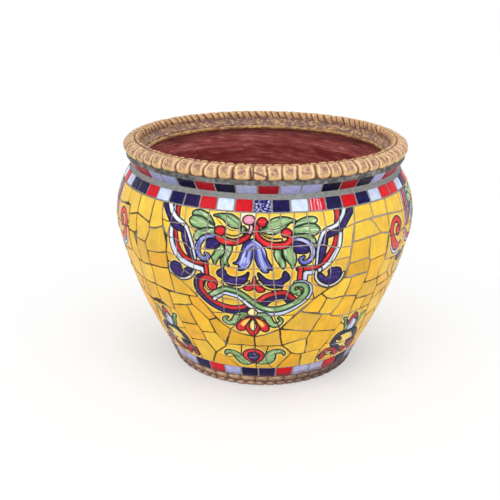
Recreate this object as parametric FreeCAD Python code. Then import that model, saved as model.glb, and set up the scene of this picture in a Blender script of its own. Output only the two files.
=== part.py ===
import FreeCAD, Part
import math
import os

# Bellied clay flower pot covered with a glazed mosaic: crazy paving with painted panels,
# rows of small square tiles, and pressed rolls round the rim and the foot.
# Millimetres, +Z up. The origin is the middle of the foot, on the floor. The front is -Y.

# Driving sizes of the pot
belly_radius = 200.0
wall_height = 288.8
wall_thickness = 12.0
floor_thickness = 15.0
foot_recess = 6.0
foot_ring_width = 14.0
drain_hole_radius = 13.0
lip_thickness = 15.9
cove_height = 5.2
mouth_bevel = 3.5

# Driving sizes of the mosaic
tile_thickness = 5.0
bed_thickness = 4.0
seat_gap = 0.3
field_joint = 1.9
panel_joint = 1.3
row_joint = 2.0

# Driving sizes of the rolls
rim_roll_width = 24.5
rim_roll_height = 16.0
rim_lobe_depth = 2.0
lip_bead_depth = 2.8
lip_bead_height = 5.0
foot_lobe_depth = 2.4
foot_row_gap = 0.5
foot_lift = 0.8

# Counts that go round the pot
rim_lobe_count = 62
brick_lobe_count = 44
pebble_lobe_count = 60
neck_tile_count = 45
shoulder_tile_count = 54
base_tile_count = 38

# Turns in degrees at which the rows of tiles begin, right of the front panel's middle
neck_start_turn = 1.7
shoulder_start_turn = 0.3
base_start_turn = 2.0

# Whole turns in degrees, and the part of a turn after which the pattern comes again
full_turn = 360.0
quarter_turn = 90.0
half_turn = 180.0
whole_share = 100.0

# The outline of the tile faces, from the foot to the neck:
# (share of belly_radius, share of wall_height)
FOOT_SHARES = (0.6225, 0.0)
BASE_LOW_SHARES = (0.6575, 0.0606)
BASE_TOP_SHARES = (0.6925, 0.116)
TAPER_SHARES = (0.885, 0.4103)
BELLY_SHARES = (0.993, 0.6787)
CURVE_SHARES = (0.9833, 0.8154)
SHOULDER_TOP_SHARES = (0.9015, 0.9401)
WAIST_SHARES = (0.884, 0.955)
NECK_TOP_SHARES = (0.926, 1.0)
# The shoulder row's height as a share of the run of the upper curve
SHOULDER_ROW_SHARE = 0.205

# Sections of the rolls: (share of the roll's width, share of its height, share of the lobe's
# depth by which the point draws in between two lobes, outwards first and upwards second)
RIM_SECTION_SHARES = (
    (0.0, 0.06, 0.0, 0.0),
    (0.14, 0.16, 0.3, 0.0),
    (0.24, 0.62, 0.7, -0.2),
    (0.4, 0.93, 0.3, -0.6),
    (0.58, 1.0, 0.0, -0.6),
    (0.8, 0.88, -0.5, -0.7),
    (1.0, 0.56, -1.0, -0.2),
    (0.98, 0.24, -1.0, 0.0),
    (0.78, 0.0, -0.5, 0.0),
    (0.0, 0.0, 0.0, 0.0),
)
FOOT_SECTION_SHARES = (
    (0.0, 0.0, 0.0, 0.0),
    (0.8, 0.08, -0.8, 0.1),
    (1.0, 0.5, -1.0, 0.0),
    (0.8, 0.92, -0.8, -0.1),
    (0.0, 1.0, 0.0, 0.0),
)
PEBBLE_ROW_SHARE = 0.46
BEAD_SECTION_SHARES = ((0.0, 0.0), (0.75, 0.15), (1.0, 0.5), (0.75, 0.85), (0.0, 1.0))

# Tables of the mosaic. A corner is (degrees round from the figure's middle, hundredths of
# the field's run from the base row to the shoulder row). A chip is a tuple of its corners.

# Crazy paving between the panels on the right of a front panel
RIGHT_FIELD_SHARES = (
    ((38, 100), (45.9, 100), (46.4, 92.4), (44.4, 92.2), (37.2, 91.6)),
    ((45.9, 100), (54.8, 100), (54.2, 91.8), (46.4, 92.4)),
    ((54.8, 100), (65.3, 100), (65, 89.6), (54.2, 91.8)),
    ((37.2, 91.6), (44.4, 92.2), (46.4, 89.4), (49.5, 83.4), (44, 83), (36.1, 82.4)),
    ((44.4, 92.2), (54.2, 91.8), (54.6, 82), (49.5, 83.4), (46.4, 89.4)),
    ((36.1, 82.4), (43.9, 83), (43.9, 76), (44.3, 71.6), (39, 71.3), (35.4, 70.8), (35.4, 76)),
    ((43.9, 83), (49.5, 83.4), (53.8, 82), (53.7, 70.2), (45.4, 69.6), (44.3, 71.6), (43.9, 76)),
    ((35.4, 70.8), (44.3, 71.5), (45.4, 69.4), (45.8, 66), (45.7, 62.4), (40, 62.8), (34.6, 62.4)),
    ((45.4, 69.6), (53.7, 70.2), (54.5, 66.3), (53, 60), (53.3, 55.6), (49, 55.4), (45.4, 56),
     (45.8, 62.4)),
    ((54.5, 66.3), (60.7, 64.8), (60.1, 56.7), (53.3, 55.6), (53, 60)),
    ((60.7, 64.8), (65, 64.5), (64.6, 60), (65.5, 55), (68.4, 51), (65, 50.2), (60.1, 56.7)),
    ((37.9, 61.9), (45.7, 62.3), (45.3, 56.5), (44.4, 52), (43.1, 48.2), (36.5, 50.4), (37.5, 56)),
    ((34.4, 62.3), (37.9, 61.9), (37.5, 56), (36.5, 50.4), (31, 50.1), (28.8, 51.2),
     (26.1, 54.7), (29, 57.4), (32, 59)),
    ((44.6, 55.8), (49, 55.4), (53.3, 55.6), (54.9, 49.6), (54.6, 45.5), (49.9, 45.2),
     (43.5, 46), (43.1, 48.2)),
    ((53.3, 55.6), (60.1, 56.7), (65, 50.2), (54.9, 49.6)),
    ((36.5, 50.4), (43.1, 48.2), (42.7, 42), (42.6, 36.4), (39, 35.9), (33.2, 37.8),
     (32.3, 39.7), (34.6, 43.8)),
    ((43.4, 45.9), (49.9, 45.2), (48.8, 40), (48.7, 36.8), (42.6, 36.4), (42.7, 42)),
    ((49.9, 45.2), (54.6, 45.5), (54.7, 37), (48.7, 36.8), (48.8, 40)),
)

# Crazy paving between the panels on the left of a front panel
LEFT_FIELD_SHARES = (
    ((-65.3, 100), (-57, 100), (-56.9, 92.2), (-65, 89.6)),
    ((-57, 100), (-48.5, 100), (-48.2, 89.9), (-52, 88), (-54.3, 87.2), (-54.4, 91.6),
     (-56.9, 92.2)),
    ((-48.5, 100), (-39.6, 100), (-40.2, 87.4), (-44, 88.7), (-48.2, 89.9)),
    ((-39.6, 100), (-35.2, 100), (-34.5, 93), (-33.3, 87.7), (-37, 85.6), (-39.9, 84.9),
     (-40.2, 87.4)),
    ((-54.3, 87.2), (-52, 88), (-48.2, 89.9), (-48.4, 84), (-47.6, 80.4), (-50, 78.6),
     (-53.8, 78.8), (-54.5, 82)),
    ((-48.2, 89.9), (-44, 88.6), (-40.2, 87.3), (-40, 83), (-42.5, 76.2), (-47.9, 76.9),
     (-47.6, 80.4), (-48.4, 84)),
    ((-39.9, 84.9), (-37, 85.5), (-33.3, 87.7), (-31.4, 79.4), (-31.7, 74.6), (-36, 72.7),
     (-41.9, 71.7), (-42.5, 76.2), (-40, 83)),
    ((-41.9, 71.7), (-36, 72.7), (-31.7, 74.6), (-32.2, 64.9), (-36, 63.7), (-41.8, 63.2),
     (-42.3, 67)),
    ((-53.8, 78.8), (-50, 78.6), (-49, 71), (-48.5, 62.2), (-50.8, 62.5), (-54.6, 66.4)),
    ((-47.9, 76.9), (-42.5, 76.2), (-42.3, 67), (-41.9, 63.2), (-46, 61.8), (-48.5, 62.2),
     (-49, 71)),
    ((-41.8, 63.2), (-36, 63.7), (-32.2, 64.9), (-32.1, 57), (-32, 50), (-37, 50),
     (-42.5, 50.9), (-41.9, 57)),
    ((-32, 62.8), (-30, 61), (-27.5, 59.3), (-24.9, 56.3), (-20.9, 50.9), (-25.3, 50.2),
     (-32, 49.9), (-32.1, 57)),
    ((-50.8, 62.5), (-46, 61.8), (-41.9, 63), (-41.9, 57), (-42.8, 50.8), (-46, 49.9),
     (-50.8, 50.4)),
    ((-60.7, 64.8), (-54.6, 66.4), (-50.8, 62.5), (-50.8, 50.4), (-53.8, 50.3), (-58.4, 50.9),
     (-60.8, 57)),
    ((-65, 64.5), (-60.7, 64.8), (-60.8, 57), (-58.4, 50.9), (-61.2, 51.4), (-63.9, 54.7),
     (-65.4, 55.4), (-64.6, 60)),
    ((-50.8, 50.4), (-46, 49.9), (-43, 50.6), (-43, 39.6), (-46.5, 39), (-51, 37)),
    ((-43, 50.6), (-35.4, 49.2), (-35.3, 37), (-38.8, 36.7), (-43, 39.4)),
    ((-53.8, 50.3), (-50.8, 50.4), (-51, 37), (-57, 38.2), (-57.3, 40.5), (-55, 46)),
)

# Crazy paving under each panel
LOW_FIELD_SHARES = (
    ((-35.3, 49.3), (-25.3, 50.2), (-24.6, 44.5), (-27.4, 43.2), (-35.1, 40.7)),
    ((-25.3, 50.2), (-20.9, 50.9), (-18, 45.2), (-14.8, 38.2), (-18.2, 35.8), (-20.7, 39.7),
     (-24.6, 44.8)),
    ((-27.4, 43.2), (-24.6, 44.6), (-20.7, 39.6), (-18.2, 35.7), (-16.6, 27), (-23.3, 25.7),
     (-24.9, 30.2), (-26.4, 37)),
    ((-18.2, 35.8), (-14.7, 37.9), (-12.3, 34.6), (-9.2, 31.1), (-10.6, 26), (-12.4, 20.7),
     (-14.6, 22.6), (-16.5, 27)),
    ((-35.1, 40.7), (-27.4, 43.2), (-26.4, 37), (-24.9, 30.2), (-31, 29), (-33.8, 28.5),
     (-35.2, 36)),
    ((-33.8, 28.4), (-24.9, 30.1), (-23.3, 25.7), (-22.4, 18.8), (-27, 17.7), (-31.4, 17),
     (-33.3, 24)),
    ((-31.4, 17), (-22.4, 18.8), (-19.2, 10.5), (-21.4, 5), (-23.3, 0), (-30, 0), (-30.4, 6),
     (-30.8, 12)),
    ((-23.3, 25.7), (-16.5, 27), (-12.8, 20.3), (-12.9, 17.3), (-14.6, 15.2), (-19.1, 10.3),
     (-22.4, 19.5)),
    ((-9.2, 31), (-5, 28.5), (0.6, 26.9), (0.8, 19.7), (-5, 19.8), (-12.2, 19.2), (-10.6, 26)),
    ((0.6, 26.9), (5, 28.2), (8.4, 30.5), (11.2, 32.4), (11.8, 26), (12.9, 19.8), (8, 19.6),
     (0.8, 19.7)),
    ((18.8, 44.4), (22.8, 51), (26.1, 54.6), (28.8, 51.2), (27.7, 46), (26.4, 41.6), (22, 42.9)),
    ((28.8, 51.2), (31, 50.1), (36.4, 50.3), (34.6, 43.9), (32.2, 39.6), (28.2, 40.4),
     (26.4, 41.6), (27.7, 46)),
    ((11.8, 33.2), (14.7, 38.5), (18.6, 44.2), (22, 42.8), (28.2, 40.4), (26.8, 36),
     (25.2, 29), (17.5, 31.2)),
    ((28.2, 40.4), (32.2, 39.4), (33.2, 37.8), (39, 35.9), (39.2, 31), (37.7, 26.2),
     (30, 27.9), (25.2, 28.8), (26.8, 36)),
    ((11.3, 32.4), (17.5, 31.1), (25, 28.8), (23.8, 24), (19, 22.6), (12.9, 20.1), (12, 25)),
    ((25.1, 28.8), (30, 27.9), (37.6, 26.1), (36, 20), (33.3, 12.2), (28, 12.2), (24.8, 11.5),
     (24.6, 18), (23.9, 24)),
    ((13, 20), (19, 22.5), (23.9, 24), (24.6, 18), (24.8, 11.6), (21.2, 11.1), (17.9, 12.9),
     (15.5, 16.5)),
    ((17.9, 12.9), (21.2, 11.1), (23.1, 10.9), (23.6, 6), (24.2, 0), (11.4, 0), (13.5, 4.3),
     (15.8, 8.6)),
    ((23.1, 11), (28, 12.1), (33.3, 12.1), (33, 5.5), (33.6, 0), (24.2, 0), (23.6, 6)),
)

# Chips that carry the round flower under each panel
FLOWER_SHARES = (
    ((-12.5, 19.1), (-5.3, 19.7), (-6.2, 10.5), (-13.8, 8), (-19, 10.2), (-14.5, 15.3),
     (-12.9, 17.2)),
    ((-19, 10.2), (-13.8, 8), (-7.2, 0), (-23.2, 0), (-21.3, 5)),
    ((-5.3, 19.7), (0.8, 19.6), (0.9, 0), (-7.2, 0), (-13.8, 8), (-6.2, 10.5)),
    ((0.8, 19.6), (6.9, 19.6), (5.4, 12), (7, 4), (9.6, 0), (0.9, 0)),
    ((6.9, 19.6), (12.9, 19.6), (15.4, 16.5), (17.8, 12.9), (15.7, 8.6), (11.3, 0), (9.6, 0),
     (7, 4), (5.4, 12)),
)

# Chips that carry the tulip between two panels
TULIP_SHARES = (
    ((39, 35.9), (42.6, 36.3), (43.5, 27), (39.3, 31)),
    ((42.6, 36.3), (48.7, 36.8), (51.5, 36.9), (51, 22.5), (43.3, 21.8), (43.5, 27)),
    ((51.5, 36.9), (54.7, 37), (56.2, 28.5), (56.8, 24), (51, 22.5)),
    ((39.3, 31), (43.5, 27), (43.3, 21.8), (39.5, 15.2), (34.8, 16), (37.7, 26.2)),
    ((43.3, 21.8), (51, 22.5), (52.5, 13), (46, 12.5), (39.5, 15.2)),
    ((51, 22.5), (56.8, 24), (58.6, 17), (59.2, 12), (52.5, 13)),
    ((34.8, 16), (39.5, 15.2), (46, 12.5), (42, 6), (33, 7.3), (33.3, 12)),
    ((46, 12.5), (52.5, 13), (59.2, 12), (59.6, 6.8), (50, 6), (42, 6)),
    ((33, 7.3), (42, 6), (44.5, 0), (33.6, 0)),
    ((42, 6), (50, 6), (51.5, 0), (44.5, 0)),
    ((50, 6), (59.6, 6.8), (60, 0), (51.5, 0)),
)

# The front and back panels, broken across their bellflower and ribbons
FRONT_PANEL_SHARES = (
    ((-35.2, 100), (-29.8, 100), (-30, 90.6), (-33.9, 91), (-34.5, 93.5)),
    ((-29.8, 100), (-24.5, 100), (-24.2, 91.3), (-30, 90.6)),
    ((-24.5, 100), (-15.2, 100), (-15.4, 89), (-20, 89.3), (-24.2, 91.3)),
    ((-15.2, 100), (-8.8, 100), (-8.6, 86.5), (-15.4, 89)),
    ((-8.8, 100), (-3.9, 100), (-4.1, 90), (-4.5, 85.5), (-8.6, 86.5)),
    ((-3.9, 100), (1.5, 100), (1, 91), (-4.1, 90)),
    ((1.5, 100), (6, 100), (6.1, 95), (7.2, 91), (1, 91)),
    ((6, 100), (9.9, 100), (10, 95.8), (9.5, 90), (7.2, 91), (6.1, 95)),
    ((9.9, 100), (14.8, 100), (14.4, 93), (14.1, 88), (9.5, 90), (10, 95.8)),
    ((14.8, 100), (19.1, 100), (19.5, 96), (20, 89), (14.1, 88), (14.4, 93)),
    ((19.1, 100), (25.3, 100), (25.9, 90.5), (20, 89), (19.5, 96)),
    ((25.3, 100), (31.6, 100), (30.8, 89.3), (25.9, 90.5)),
    ((31.6, 100), (38, 100), (37.1, 91.5), (30.8, 89.3)),
    ((-33.9, 91), (-30, 90.6), (-31.2, 83.5), (-33.2, 87.8)),
    ((-30, 90.6), (-24.2, 91.3), (-23, 81.3), (-27.5, 82.6), (-31.2, 83.5)),
    ((-24.2, 91.3), (-20, 89.3), (-19.8, 80), (-21.5, 79.3), (-23, 81.3)),
    ((-20, 89.3), (-15.4, 89), (-16, 80.5), (-19.8, 80)),
    ((-15.4, 89), (-8.6, 86.5), (-8.4, 80.5), (-16, 80.5)),
    ((-8.6, 86.5), (-4.5, 85.5), (-5, 80), (-8.4, 80.5)),
    ((-4.5, 85.5), (-4.1, 90), (1, 91), (0.9, 82.5), (-5, 80)),
    ((1, 91), (7.2, 91), (6.8, 83.5), (0.9, 82.5)),
    ((7.2, 91), (9.5, 90), (14.1, 88), (13.8, 83.5), (6.8, 83.5)),
    ((14.1, 88), (20, 89), (20.6, 83.6), (13.8, 83.5)),
    ((20, 89), (25.9, 90.5), (24.8, 83), (20.6, 83.6)),
    ((25.9, 90.5), (30.8, 89.3), (29.8, 80.8), (24.8, 83)),
    ((30.8, 89.3), (37, 91.5), (35.3, 80.3), (29.8, 80.8)),
    ((-31.2, 83.5), (-27.5, 82.6), (-26.6, 73.5), (-31.6, 74.7), (-31.3, 79.4)),
    ((-27.5, 82.6), (-23, 81.3), (-21.5, 79.3), (-20.6, 72.6), (-26.6, 73.5)),
    ((-21.5, 79.3), (-16, 80.5), (-14.5, 72.5), (-20.6, 72.6)),
    ((-16, 80.5), (-8.4, 80.5), (-9.9, 72), (-14.5, 72.5)),
    ((-8.4, 80.5), (-5, 80), (0.9, 82.5), (1, 71.6), (-4.6, 71.6), (-9.9, 72)),
    ((0.9, 82.5), (6.8, 83.5), (7.4, 72.4), (1, 71.6)),
    ((6.8, 83.5), (13.8, 83.5), (14.3, 72.6), (7.4, 72.4)),
    ((13.8, 83.5), (20.6, 83.6), (21.1, 72.2), (14.3, 72.6)),
    ((20.6, 83.6), (24.8, 83), (29.8, 80.8), (27.6, 74), (21.1, 72.2)),
    ((29.8, 80.8), (35.3, 80.3), (35.3, 74.8), (27.6, 74)),
    ((-31.6, 74.7), (-26.6, 73.5), (-25.2, 66), (-28, 59.8), (-32, 63.4)),
    ((-26.6, 73.5), (-20.6, 72.6), (-20.5, 62.5), (-25.2, 66)),
    ((-25.2, 66), (-20.5, 62.5), (-21.5, 52), (-25, 56.4), (-28, 59.8)),
    ((-20.6, 72.6), (-14.5, 72.5), (-9.9, 72), (-10.3, 62.5), (-20.5, 62.5)),
    ((-9.9, 72), (-4.6, 71.6), (-5.4, 61.6), (-10.3, 62.5)),
    ((-4.6, 71.6), (1, 71.6), (1, 62), (-5.4, 61.6)),
    ((1, 71.6), (7.4, 72.4), (8, 62.2), (1, 62)),
    ((7.4, 72.4), (14.3, 72.6), (13.5, 61.2), (8, 62.2)),
    ((14.3, 72.6), (21.1, 72.2), (21.5, 61.8), (13.5, 61.2)),
    ((21.1, 72.2), (27.6, 74), (28.4, 67), (28.5, 57.3), (21.5, 61.8)),
    ((27.6, 74), (35.3, 74.8), (34.6, 66), (34.3, 62.4), (32, 59.1), (28.5, 57.3), (28.4, 67)),
    ((-20.5, 62.5), (-10.3, 62.5), (-10.9, 52.2), (-15.8, 53), (-21.5, 52)),
    ((-10.3, 62.5), (-5.4, 61.6), (-5, 52), (-10.9, 52.2)),
    ((-5.4, 61.6), (1, 62), (1.3, 52), (-5, 52)),
    ((1, 62), (8, 62.2), (9.2, 51.7), (1.3, 52)),
    ((8, 62.2), (13.5, 61.2), (12.5, 53), (9.2, 51.7)),
    ((13.5, 61.2), (21.5, 61.8), (23.3, 52), (12.5, 53)),
    ((21.5, 61.8), (28.5, 57.3), (26, 54.8), (23.3, 52)),
    ((-21.5, 52), (-15.8, 53), (-10.9, 52.2), (-11, 42.6), (-16, 41.8)),
    ((-10.9, 52.2), (-5, 52), (-4.7, 42.2), (-11, 42.6)),
    ((-5, 52), (1.3, 52), (1, 42.2), (-4.7, 42.2)),
    ((1.3, 52), (9.2, 51.7), (8.4, 42.2), (1, 42.2)),
    ((9.2, 51.7), (12.5, 53), (23.3, 52), (20, 47.4), (16.6, 42.2), (8.4, 42.2)),
    ((-16, 41.8), (-11, 42.6), (-4.7, 42.2), (-7.3, 34), (-9.3, 31.3), (-12.5, 35)),
    ((-4.7, 42.2), (1, 42.2), (0.8, 27.2), (-5, 28.8), (-9.3, 31.3), (-7.3, 34)),
    ((1, 42.2), (8.4, 42.2), (11.2, 32.8), (8.4, 30.8), (5, 28.5), (0.8, 27.2)),
    ((8.4, 42.2), (16.6, 42.2), (14.8, 39), (11.2, 32.8)),
)

# One half of the side panels, which is mirrored for the other half
SIDE_PANEL_SHARES = (
    ((-24.7, 100), (-20.8, 100), (-21.2, 89.8), (-25, 89.6)),
    ((-20.8, 100), (-14, 100), (-14.6, 90.2), (-21.2, 89.8)),
    ((-14, 100), (-7, 100), (-7.2, 90), (-14.6, 90.2)),
    ((-7, 100), (0, 100), (0, 90.5), (-7.2, 90)),
    ((-35.6, 91.6), (-25, 89.6), (-24.3, 80.2), (-30, 79), (-36, 80.2), (-35.5, 82)),
    ((-36, 80.2), (-30, 79), (-24.3, 80.2), (-23.8, 71), (-25, 64.6), (-29.3, 65), (-35.4, 66.4)),
    ((-25, 89.6), (-14.6, 90.2), (-15.5, 80.5), (-24.3, 80.2)),
    ((-14.6, 90.2), (-7.2, 90), (-7.8, 80.2), (-15.5, 80.5)),
    ((-7.2, 90), (0, 90.5), (0, 80), (-7.8, 80.2)),
    ((-24.3, 80.2), (-15.5, 80.5), (-16, 70.5), (-23.8, 71)),
    ((-15.5, 80.5), (-7.8, 80.2), (0, 80), (0, 70), (-8, 70.3), (-16, 70.5)),
    ((-23.8, 71), (-16, 70.5), (-15.2, 61), (-25.2, 57.5), (-24.8, 61), (-25, 64.6)),
    ((-16, 70.5), (-8, 70.3), (-8, 60.6), (-15.2, 61)),
    ((-8, 70.3), (0, 70), (0, 60.5), (-8, 60.6)),
    ((-25.2, 57.5), (-15.2, 61), (-12, 51), (-21.6, 51.2), (-24.5, 55.2)),
    ((-15.2, 61), (0, 60.5), (0, 50.7), (-12, 51)),
    ((-21.6, 51.2), (-12, 51), (-9.5, 41.5), (-16, 41.8)),
    ((-12, 51), (0, 50.7), (0, 41), (-9.5, 41.5)),
    ((-16, 41.8), (-9.5, 41.5), (-7.3, 34), (-9.3, 31.3), (-12.5, 35)),
    ((-9.5, 41.5), (0, 41), (0, 27.2), (-5, 28.8), (-9.3, 31.3), (-7.3, 34)),
)

# Colours of the rows of small tiles, going round from the front panel's middle
SHOULDER_COLOURS = (
    "figured navy white striped navy red navy white red red white navy red white "
    "navy white red white navy navy red white navy navy red white red"
).split()
NECK_COLOURS = (
    "red lilac lilac navy red navy lilac red red lilac lilac navy red navy lilac"
).split()
BASE_COLOURS = (
    "navy red lilac lilac red navy lilac red lilac navy red lilac navy lilac lilac "
    "navy red lilac navy"
).split()


def outline_place(shares):
    return (belly_radius * shares[0], wall_height * shares[1])


def between(first, second, share):
    return (
        first[0] + (second[0] - first[0]) * share,
        first[1] + (second[1] - first[1]) * share,
    )


def distance(first, second):
    return math.hypot(second[0] - first[0], second[1] - first[1])


def arc_centre(first, middle, last):
    """Centre of the circle through three places of the outline."""
    ax = middle[0] - first[0]
    ay = middle[1] - first[1]
    bx = last[0] - first[0]
    by = last[1] - first[1]
    cross = 2 * (ax * by - ay * bx)
    along_a = ax * ax + ay * ay
    along_b = bx * bx + by * by
    x = first[0] + (by * along_a - ay * along_b) / cross
    y = first[1] + (ax * along_b - bx * along_a) / cross
    return (x, y)


def straight(first, last):
    """A straight stretch: its length, and the place and outward direction along it."""
    length = distance(first, last)
    way = ((last[0] - first[0]) / length, (last[1] - first[1]) / length)

    def at(run):
        return between(first, last, run / length), (way[1], -way[0])

    return length, at


def curved(first, middle, last):
    """A round stretch through three places, described in the same way."""
    centre = arc_centre(first, middle, last)
    radius = distance(centre, first)
    start = math.atan2(first[1] - centre[1], first[0] - centre[0])
    end = math.atan2(last[1] - centre[1], last[0] - centre[0])

    def at(run):
        angle = start + run / radius
        out = (math.cos(angle), math.sin(angle))
        return (centre[0] + radius * out[0], centre[1] + radius * out[1]), out

    return radius * (end - start), at


FOOT = outline_place(FOOT_SHARES)
BASE_LOW = outline_place(BASE_LOW_SHARES)
BASE_TOP = outline_place(BASE_TOP_SHARES)
TAPER = outline_place(TAPER_SHARES)
BELLY = outline_place(BELLY_SHARES)
CURVE = outline_place(CURVE_SHARES)
SHOULDER_TOP = outline_place(SHOULDER_TOP_SHARES)
WAIST = outline_place(WAIST_SHARES)
NECK_TOP = outline_place(NECK_TOP_SHARES)
foot_band_height = BASE_LOW[1]

STRETCHES = (
    straight(FOOT, BASE_LOW),
    straight(BASE_LOW, BASE_TOP),
    curved(BASE_TOP, TAPER, BELLY),
    curved(BELLY, CURVE, SHOULDER_TOP),
    straight(SHOULDER_TOP, WAIST),
    straight(WAIST, NECK_TOP),
)

# Runs along the outline at which the rows and the field begin and end
foot_run = STRETCHES[0][0]
base_run = foot_run + STRETCHES[1][0]
belly_run = base_run + STRETCHES[2][0]
shoulder_run = belly_run + STRETCHES[3][0] * (1 - SHOULDER_ROW_SHARE)
shoulder_top_run = belly_run + STRETCHES[3][0]
waist_run = shoulder_top_run + STRETCHES[4][0]
neck_run = waist_run + STRETCHES[5][0]


def face_at(run):
    """Place and outward direction of the tile faces at a run along the outline."""
    left = run
    for length, at in STRETCHES[:-1]:
        if left <= length:
            return at(left)
        left = left - length
    return STRETCHES[-1][1](left)


def offset_places(depth):
    """The outline drawn in by a depth, as ends and middles of its six stretches."""
    corners = []
    directions = []
    for length, at in STRETCHES:
        directions.append((at(0)[1], at(length)[1]))
    places = [FOOT, BASE_LOW, BASE_TOP, BELLY, SHOULDER_TOP, WAIST, NECK_TOP]
    for index, place in enumerate(places):
        before = directions[max(index - 1, 0)][1 if index else 0]
        after = directions[min(index, len(directions) - 1)][0 if index < len(directions) else 1]
        out = (before[0] + after[0], before[1] + after[1])
        scale = 2 * depth / (out[0] * out[0] + out[1] * out[1])
        corners.append((place[0] - out[0] * scale, place[1] - out[1] * scale))
    middles = []
    for length, at in STRETCHES:
        place, out = at(length / 2)
        middles.append((place[0] - out[0] * depth, place[1] - out[1] * depth))
    return corners, middles


def at_turn(radius, height, turn):
    """A point of the pot. A turn of zero is the front, and turns grow to the right."""
    angle = math.radians(turn)
    return FreeCAD.Vector(radius * math.sin(angle), -radius * math.cos(angle), height)


def radial(place):
    return FreeCAD.Vector(place[0], 0, place[1])


def line(first, last):
    return Part.LineSegment(radial(first), radial(last)).toShape()


def arc(first, middle, last):
    return Part.Arc(radial(first), radial(middle), radial(last)).toShape()


def turned(edges):
    """The solid of revolution of a closed section given by its edges in order."""
    face = Part.Face(Part.Wire(edges))
    return face.revolve(FreeCAD.Vector(0, 0, 0), FreeCAD.Vector(0, 0, 1), full_turn)


def outline_edges(depth, first, last):
    """Edges of the outline drawn in by a depth, from one numbered corner up to another."""
    corners, middles = offset_places(depth)
    edges = []
    for index in range(first, last):
        if index in (2, 3):
            edges.append(arc(corners[index], middles[index], corners[index + 1]))
        else:
            edges.append(line(corners[index], corners[index + 1]))
    return edges, corners[first], corners[last]


def closed_section(places):
    """Straight edges through a list of places."""
    return [line(first, last) for first, last in zip(places, places[1:])]


clay_depth = tile_thickness + seat_gap + bed_thickness
inner_depth = clay_depth + wall_thickness

# The mouth stands a cove above the neck row, and a lip's thickness inside the clay's face there
mouth_radius = NECK_TOP[0] - clay_depth - lip_thickness
mouth_height = wall_height + cove_height
bevel_height = mouth_height - mouth_bevel


def clay_pot():
    """The thrown pot: wall, foot ring, floor with its drain hole, and bevelled mouth."""
    outer, outer_low, outer_high = outline_edges(clay_depth, 1, 6)
    inner, inner_low, inner_high = outline_edges(inner_depth, 2, 4)
    foot_corner = (FOOT[0] - clay_depth, 0)
    floor_top = foot_recess + floor_thickness
    ring_inner = foot_corner[0] - foot_ring_width
    mouth = closed_section([
        outer_high,
        (outer_high[0], mouth_height),
        (mouth_radius + mouth_bevel, mouth_height),
        (mouth_radius, bevel_height),
        (mouth_radius, bevel_height - lip_bead_height),
        inner_high,
    ])
    foot = closed_section([
        inner_low,
        (inner_low[0], floor_top),
        (drain_hole_radius, floor_top),
        (drain_hole_radius, foot_recess),
        (ring_inner, foot_recess),
        (ring_inner, 0),
        foot_corner,
        outer_low,
    ])
    return turned(outer + mouth + inner[::-1] + foot)


def mortar_coat():
    """The bed of the tiles, from the foot band to the cove under the rim roll."""
    outer, outer_low, outer_high = outline_edges(tile_thickness + seat_gap, 1, 6)
    inner, inner_low, inner_high = outline_edges(clay_depth, 1, 6)
    cove_top = mouth_height - seat_gap
    cove = closed_section([
        outer_high,
        (NECK_TOP[0] - seat_gap, NECK_TOP[1] + seat_gap),
        (outer_high[0], cove_top),
        (inner_high[0], cove_top),
        inner_high,
    ])
    return turned(outer + cove + inner[::-1] + [line(inner_low, outer_low)])


def lip_bead():
    """The small glazed bead inside the mouth, seated on the wall."""
    places = []
    for across, up in BEAD_SECTION_SHARES:
        height = bevel_height - lip_bead_height * (1 - up)
        places.append((mouth_radius - lip_bead_depth * across, height))
    return turned(closed_section(places + places[:1]))


def lobed_ring(lobes, section_at):
    """A ring with pressed lobes: ruled between the sections on and between the lobes."""
    wires = []
    for step in range(2 * lobes):
        drawn_in = step % 2
        turn = full_turn * step / (2 * lobes)
        points = [at_turn(radius, height, turn) for radius, height in section_at(drawn_in)]
        wires.append(Part.makePolygon(points + points[:1]))
    return Part.makeLoft(wires, True, True, True)


def rim_section(drawn_in):
    inner = mouth_radius + mouth_bevel
    places = []
    for across, up, out_draw, up_draw in RIM_SECTION_SHARES:
        radius = inner + rim_roll_width * across + rim_lobe_depth * out_draw * drawn_in
        height = mouth_height + rim_roll_height * up + rim_lobe_depth * up_draw * drawn_in
        places.append((radius, height))
    return places


def foot_section(low_share, high_share, drawn_in):
    """Section of one row of the foot band, between two shares of the band's height."""
    low = between(FOOT, BASE_LOW, low_share)
    high = between(FOOT, BASE_LOW, high_share)
    back = clay_depth - seat_gap
    places = []
    for out, up, out_draw, up_draw in FOOT_SECTION_SHARES:
        face = between(low, high, up)
        radius = face[0] - back * (1 - out) + foot_lobe_depth * out_draw * drawn_in
        height = face[1] + foot_lobe_depth * up_draw * drawn_in
        places.append((radius, height))
    return places


def foot_bricks():
    gap_share = foot_row_gap / foot_band_height
    low_share = PEBBLE_ROW_SHARE + gap_share
    return lobed_ring(brick_lobe_count, lambda drawn: foot_section(low_share, 1 - gap_share, drawn))


def foot_pebbles():
    lift_share = foot_lift / foot_band_height
    return lobed_ring(pebble_lobe_count, lambda drawn: foot_section(lift_share, PEBBLE_ROW_SHARE, drawn))


def inset(points, normal, gap):
    """The corners of a flat outline, drawn in on every side by a gap."""
    moved = []
    count = len(points)
    for index in range(count):
        before = (points[index] - points[index - 1]).normalize()
        after = (points[(index + 1) % count] - points[index]).normalize()
        in_before = normal.cross(before)
        in_after = normal.cross(after)
        inward = in_before + in_after
        moved.append(points[index] + inward * (2 * gap / inward.dot(inward)))
    return moved


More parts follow.
